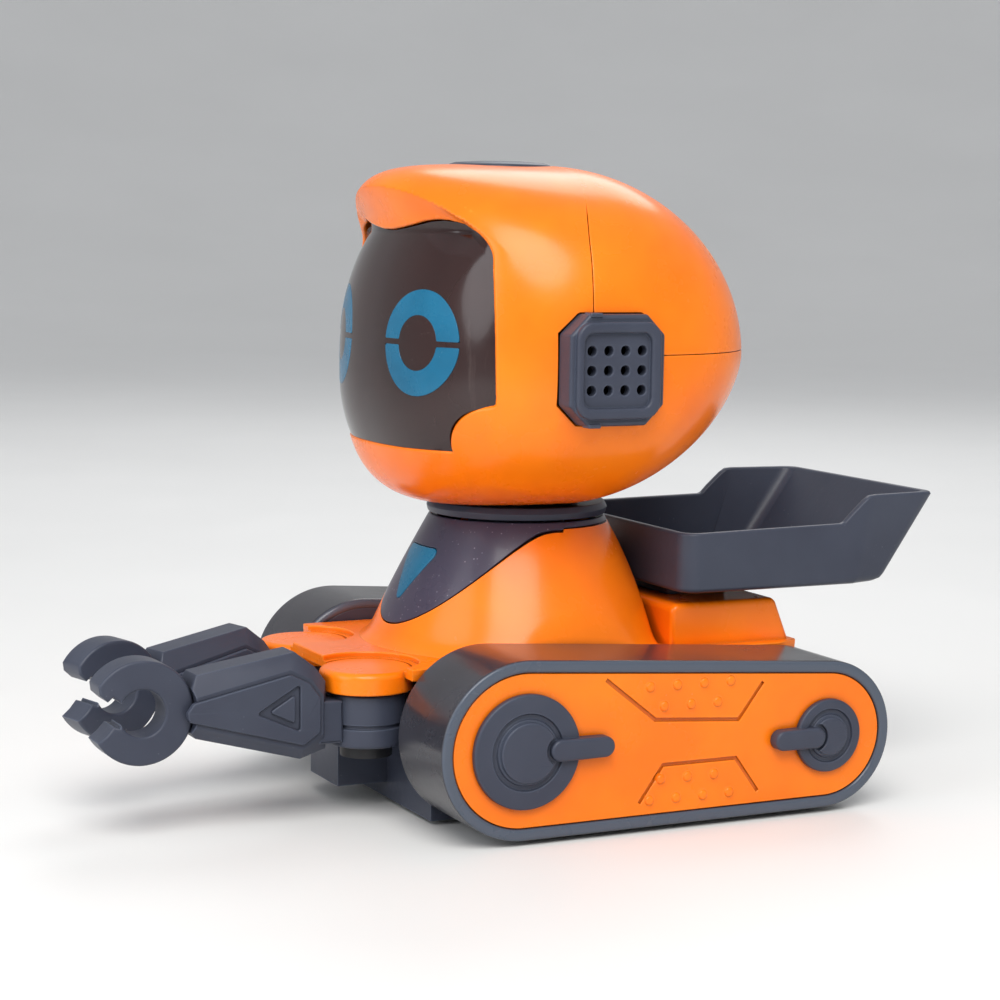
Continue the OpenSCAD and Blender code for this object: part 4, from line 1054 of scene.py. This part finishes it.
(POD_IN, POD_FRONT, _), (POD_OUT, _, _) = box_mm("left_track_shell")
POD_FRONT_R, POD_REAR_R = 12.2, 10.5
FRONT_HUB = (POD_FRONT + POD_FRONT_R, middle("left_front_hub_cap", 2))
REAR_HUB = (middle("left_axle", 1), middle("left_rear_hub_cap", 2))
PLATE_X = POD_OUT - 0.3
BAND = 1.7                      # thickness of the track band
RIVET_PITCH = 4.2


def pod_outline(inset, steps=56):
    """The pod from the side, moved inwards: two arcs joined by straight tangents."""
    r1, r2 = POD_FRONT_R - inset, POD_REAR_R - inset
    dy, dz = REAR_HUB[0] - FRONT_HUB[0], REAR_HUB[1] - FRONT_HUB[1]
    slope = math.degrees(math.atan2(dz, dy))
    lean = math.degrees(math.acos((r1 - r2) / math.hypot(dy, dz)))
    front = arc(FRONT_HUB, r1, slope + lean, slope + 360 - lean, steps)
    return front + arc(REAR_HUB, r2, slope - lean, slope + lean, steps)


def strip(points, width):
    """Outline of a band of even width along a polyline."""
    p = np.array(points, float)
    d = unit(np.diff(p, axis=0))
    n = np.stack([-d[:, 1], d[:, 0]], 1)
    middle = n[:-1] + n[1:]
    m = np.concatenate([n[:1], middle, n[-1:]])
    scale = np.concatenate([[1], 2 / np.maximum((middle ** 2).sum(1), 0.5), [1]])
    m = m * scale[:, None] * width / 2
    return [tuple(v) for v in np.concatenate([p + m, (p - m)[::-1]])]


def subtract(obj, cutters):
    for cutter in cutters:
        b = obj.modifiers.new("cut", "BOOLEAN")
        b.object = cutter
        b.operation = "DIFFERENCE"
        b.solver = "EXACT"
    bake(obj)
    for cutter in cutters:
        bpy.data.objects.remove(cutter)


def opening(name, node, play, top):
    """A block that cuts an opening in the pod's floor round a wheel or roller."""
    (x0, y0, _), (x1, y1, _) = box_mm(node)
    s = Stock()
    corners = [(x0 - 0.5, y0 - play), (x1 + 0.5, y0 - play), (x1 + 0.5, y1 + play), (x0 - 0.5, y1 + play)]
    s.loft([[(x, y, z) for x, y in corners] for z in (-1, top)])
    return s.make(name)


def make_pod(m):
    s = Stock(across)
    s.plate(pod_outline(0), POD_IN, POD_OUT, 0.5, [pod_outline(BAND)], 0.8, 4)
    band = s.make("left_track_band")
    subtract(band, [opening("wheel_gap", "left_wheel_tyre", 0.2, 6.2),
                    opening("roller_gap", "left_front_roller", 0.1, 3.5)])
    soften(band)
    bake(band)
    s = Stock(across)
    axle_hole = circle((middle("left_axle", 1), middle("left_axle", 2)), 1.3, 32)
    s.plate(pod_outline(BAND - 0.4), POD_IN + 0.15, POD_IN + 1.4, 0.2, [axle_hole])
    wall = s.make("left_track_inner_wall")
    s = Stock(across)
    grooves = [strip(line, 0.5) for line in ([(-3.4, 21.6), (4.2, 15.6), (17.4, 14.6), (21.2, 19.6)],
                                             [(2.0, 4.2), (5.6, 9.2), (17.1, 9.2), (20.8, 4.2)])]
    s.plate(pod_outline(BAND + 0.06), PLATE_X - 1.5, PLATE_X - 0.42, 0.0, (), 0.2)
    s.plate(pod_outline(BAND + 0.06), PLATE_X - 0.45, PLATE_X, 0.14, grooves, 0)
    dome = fillet_profile([(0, -0.3), (0.85, -0.3), (0.6, 0.34), (0, 0.42)], [0, 0, 0.3, 0])
    rivet = [(r, w + PLATE_X) for r, w in dome]
    for y, z, count in ((3.3, 20.2, 4), (5.5, 17.4, 3), (5.2, 7.3, 3), (3.5, 4.5, 4)):
        for i in range(count):
            s.turned(rivet, (y + i * RIVET_PITCH, z), 28)
    dress_pair(m, band, "base", "dark_plastic", "left_track_shell", "track_band")
    dress_pair(m, wall, "base", "dark_plastic", "left_track_shell")
    dress_pair(m, s.make("left_track_plate"), "base", "orange_plastic")


def bitten(r, bite, bite_r):
    """Circle with a round bite on its +u side; bite is the distance of the bite's centre."""
    a = math.degrees(math.acos((r * r + bite * bite - bite_r ** 2) / (2 * r * bite)))
    b = math.degrees(math.acos((bite_r ** 2 + bite * bite - r * r) / (2 * bite_r * bite)))
    return arc((0, 0), r, a, 360 - a, 48) + arc((bite, 0), bite_r, 180 + b, 180 - b, 14)[1:-1]


def make_caps(m):
    """Press-in discs with a ring groove round a boss, and a lever bar that starts in the boss's bite."""
    face = PLATE_X + 0.05
    disc_top, groove = face + 0.9, face + 0.55
    for end, hub, r, boss, start, length, side in (("front", FRONT_HUB, 7.8, 4.1, 4.6, 6.6, 1),
                                                   ("rear", REAR_HUB, 5.2, 2.7, 2.6, 5.2, -1)):
        s = Stock(across)
        corners = [(0, face), (r, face), (r, disc_top), (boss + 1.15, disc_top), (boss + 1.0, groove),
                   (boss + 0.45, groove), (boss + 0.3, disc_top), (0, disc_top)]
        s.turned(fillet_profile(corners, [0, 0.1, 0.35, 0.12, 0.12, 0.12, 0.12, 0]), hub)
        boss_line = [(hub[0] + side * u, hub[1] + v) for u, v in bitten(boss, start, 2.0)]
        s.plate(boss_line, face + 0.5, face + 1.4, 0.22, (), 0)
        bar = arc((0, 0), 1.5, 90, 270, 16) + arc((length, 0), 1.42, -90, 90, 16)
        bar_line = [(hub[0] + side * (start + u), hub[1] + v) for u, v in bar]
        s.plate(bar_line, face, face + 1.8, 0.45, (), 0.1, 5)
        dress_pair(m, s.make(f"left_{end}_hub_cap"), "base", "dark_plastic")


# ---------------------------------------------------------------- arms

# The arm is drawn about its shoulder's axis: u along Y from the axis, v the height above the ground.
ARM_HALF, BARREL_R, BARREL_TOP = 3.6, 5.5, 18.1
CLAW_AT, CLAW_R, GRIP_R = (-32.6, 17.6), 7.05, 3.15
SIDE_PANEL = [(-27.6, 17.6), (-26.4, 19.2), (-12.4, 22.2), (-9.4, 20.7), (-7.7, 18.4), (-7.7, 13.1),
              (-10.6, 11.2), (-27.3, 15.8)]
ARM_MIDDLE = [(-25.2, 22.2), (-11.4, 24.4), (-8.4, 22.1), (-6.9, 20.1), (-6.9, 10.8), (-10.6, 9.6),
              (-25.4, 13.6)]


def forearm_body():
    """The convex hull of the arm's middle and side outlines, cut away round the barrel and claw."""
    mesh = bpy.data.meshes.new("forearm_body")
    bm = bmesh.new()
    for outline, half in ((ARM_MIDDLE, 2.2), (SIDE_PANEL, ARM_HALF)):
        for y, z in outline:
            for sign in (-1, 1):
                bm.verts.new((sign * half * MM, y * MM, z * MM))
    bmesh.ops.convex_hull(bm, input=bm.verts[:])
    bmesh.ops.dissolve_limit(bm, angle_limit=math.radians(4), verts=bm.verts[:], edges=bm.edges[:])
    bm.normal_update()
    bm.to_mesh(mesh)
    bm.free()
    obj = link_object("forearm_body", mesh)
    cutters, axis = [], (0, 0)
    for name, place, centre, r, low, high in (
            ("ring_cut", across, CLAW_AT, CLAW_R + 0.08, -6, 6),
            ("lug_cut", upright, axis, LUG_R + 0.28, BARREL_TOP + 0.02, 40),
            ("barrel_cut", upright, axis, BARREL_R + 0.1, 5, 40)):
        cut = Stock(place)
        cut.turned([(0, low), (r, low), (r, high), (0, high)], centre, 72)
        cutters.append(cut.make(name))
    subtract(obj, cutters)
    soften(obj, 0.35, 22.0)
    return bake(obj)


def forearm_trim():
    """Barrel with a groove, the neck that joins it to the arm, and the raised side panels."""
    s = Stock()
    bore, low, inner = 2.06, 10.7, BARREL_R - 0.35
    corners = [(bore, low), (BARREL_R, low), (BARREL_R, 13.35), (inner, 13.45), (inner, 13.85),
               (BARREL_R, 13.95), (BARREL_R, BARREL_TOP), (bore, BARREL_TOP)]
    s.turned(fillet_profile(corners, [0, 0.5, 0.12, 0.08, 0.08, 0.12, 0.4, 0]))
    neck = rounded([(-4.6, 11.5), (-8.4, 11.5), (-8.4, 17.5), (-4.6, 17.5)], 0.3)
    s.plate(neck, -3.2, 3.2, 0.4, place=across)
    window = rounded([(-17.4, 16.6), (-11.2, 20.2), (-11.2, 13.8)], 0.3)
    fill = rounded([(-15.6, 16.7), (-11.9, 18.9), (-11.9, 14.9)], 0.3)
    panel = rounded([tuple(v) for v in grown(SIDE_PANEL, -0.55)], 0.7)
    low = ARM_HALF - 0.3
    for sign in (-1, 1):
        s.plate(panel, low, ARM_HALF + 0.42, 0.2, [window], 0, place=lambda p: across(p, sign))
        s.plate(fill, low, ARM_HALF + 0.4, 0.2, (), 0, place=lambda p: across(p, sign))
    return s.make("forearm_trim")


def claw_solid():
    """An open ring with small steps in its mouth, and the tang that plugs into the forearm."""
    lower_jaw = [(-4.9, -2.6), (-3.9, -1.5), (-3.1, -1.75)]
    upper_jaw = [(-3.0, 1.7), (-3.9, 2.4), (-4.6, 1.8), (-5.7, 2.8)]
    ring, grip = arc((0, 0), CLAW_R, 146, -150, 64), arc((0, 0), GRIP_R, -155, 152, 44)
    outline = ring + lower_jaw + grip + upper_jaw
    s = Stock(across)
    s.plate([(y + CLAW_AT[0], z + CLAW_AT[1]) for y, z in outline], -2.4, 2.4, 0.38, steps=4)
    tang = rounded([(-26.4, 16.1), (-20, 16.1), (-20, 19.9), (-26.4, 19.9)], 0.2)
    s.plate(tang, -1.5, 1.5, 0.1)
    return s.make("claw_solid")


def at_shoulder(obj, name, turn):
    """Copies a piece drawn about the shoulder axis to the robot's left shoulder."""
    place = Matrix.Translation((SHOULDER[0] * MM, SHOULDER[1] * MM, 0))
    mesh = obj.data.copy()
    mesh.transform(place @ Matrix.Rotation(math.radians(-turn), 4, "Z"))
    return link_object(name, mesh)


def make_arms(m):
    """The right arm is a mirrored left arm that rests at its inward limit."""
    for part, node, obj in (("forearm", "forearm", forearm_body()),
                            ("forearm_trim", "forearm", forearm_trim()), ("claw", "claw", claw_solid())):
        left = at_shoulder(obj, "left_" + part, 0.0)
        turned = at_shoulder(obj, "turned", INWARD_TURN)
        right = mirrored(turned, "right_" + part)
        bpy.data.objects.remove(turned)
        bpy.data.objects.remove(obj)
        dress(m, left, "left_arm", "dark_plastic", "left_" + node)
        dress(m, right, "right_arm", "dark_plastic", "right_" + node)


# ---------------------------------------------------------------- CAD nodes that stay, stage, camera

def dress_cad(m):
    """Materials for the CAD nodes that stay in sight."""
    for row in frame["record"]["subparts"]:
        obj = frame["nodes"].get(row["node"])
        if obj is None or obj.hide_render:
            continue
        obj.data.materials.clear()
        obj.data.materials.append(m[row["material_slot"]])


def area_light(name, place, size, power, colour=(1, 1, 1)):
    """A round soft light that looks at the robot's middle."""
    data = bpy.data.lights.new(name, "AREA")
    data.shape = "DISK"
    data.size, data.energy, data.color = size, power, colour
    obj = link_object(name, data)
    obj.location = place
    obj.rotation_euler = (Vector(LIGHT_AIM) - Vector(place)).to_track_quat("-Z", "Y").to_euler()


LIGHT_AIM = (0.0, 0.0, 0.045)
CAMERA_AT = (0.3125973, -0.1548544, 0.0824624)
CAMERA_RIGHT, CAMERA_UP = (0.443105, 0.89635, 0.014622), (-0.159479, 0.062766, 0.985204)
CAMERA_BACK = (0.88217, -0.438881, 0.170761)
LENS = 39.4744                  # of the photograph
FRAMING, CENTRE = 2.2, (-0.0085, 0.061)


def make_camera():
    """The photograph's fitted viewpoint, with a longer lens that is shifted to frame the robot."""
    data = bpy.data.cameras.new("camera")
    data.sensor_width, data.lens = 36.0, LENS * FRAMING
    data.shift_x, data.shift_y = CENTRE[0] * FRAMING, CENTRE[1] * FRAMING
    data.clip_start = 0.01
    obj = link_object("camera", data)
    rotation = Matrix((CAMERA_RIGHT, CAMERA_UP, CAMERA_BACK)).transposed().to_4x4()
    obj.matrix_world = Matrix.Translation(CAMERA_AT) @ rotation
    bpy.context.scene.camera = obj


def make_floor(m):
    """A wide flat disc that sweeps up into a backdrop far behind the robot on every side."""
    steps, flat, sweep = 96, 0.9, 1.6
    profile = [(0.3, 0), (flat, 0)]
    profile += [(flat + sweep * math.sin(a), sweep * (1 - math.cos(a))) for a in np.linspace(0.1, 1.5, 15)]
    verts, faces = [(0, 0, 0)], []
    for r, z in profile:
        verts += [(x, y, z) for x, y in circle((0, 0), r, steps)]
    for i in range(steps):
        j = (i + 1) % steps
        faces.append((0, 1 + i, 1 + j))
        for k in range(len(profile) - 1):
            a, b = 1 + k * steps, 1 + (k + 1) * steps
            faces.append((a + i, b + i, b + j, a + j))
    mesh = bpy.data.meshes.new("floor")
    mesh.from_pydata(verts, [], faces)
    mesh.shade_smooth()
    mesh.materials.append(m["floor"])
    link_object("floor", mesh)


def make_lights():
    scene = bpy.context.scene
    scene.world = bpy.data.worlds.new("studio")
    scene.world.use_nodes = True
    background = scene.world.node_tree.nodes["Background"]
    background.inputs["Color"].default_value = (0.94, 0.96, 1.0, 1.0)
    background.inputs["Strength"].default_value = 0.55
    area_light("key", (0.44, -0.22, 0.55), 0.5, 4.4, (1.0, 0.98, 0.95))
    area_light("fill", (0.1, -0.65, 0.30), 0.5, 1.6, (0.95, 0.97, 1.0))
    area_light("rim", (-0.4, 0.3, 0.5), 0.4, 1.1)
    scene.view_settings.view_transform = "Standard"
    scene.view_settings.look = "None"


def main():
    m = make_materials()
    for make in (make_head, make_ears, make_crown, make_neck, make_torso, make_deck, make_tray, make_pod,
                 make_caps, make_arms, dress_cad, make_floor):
        make(m)
    make_lights()
    make_camera()


main()
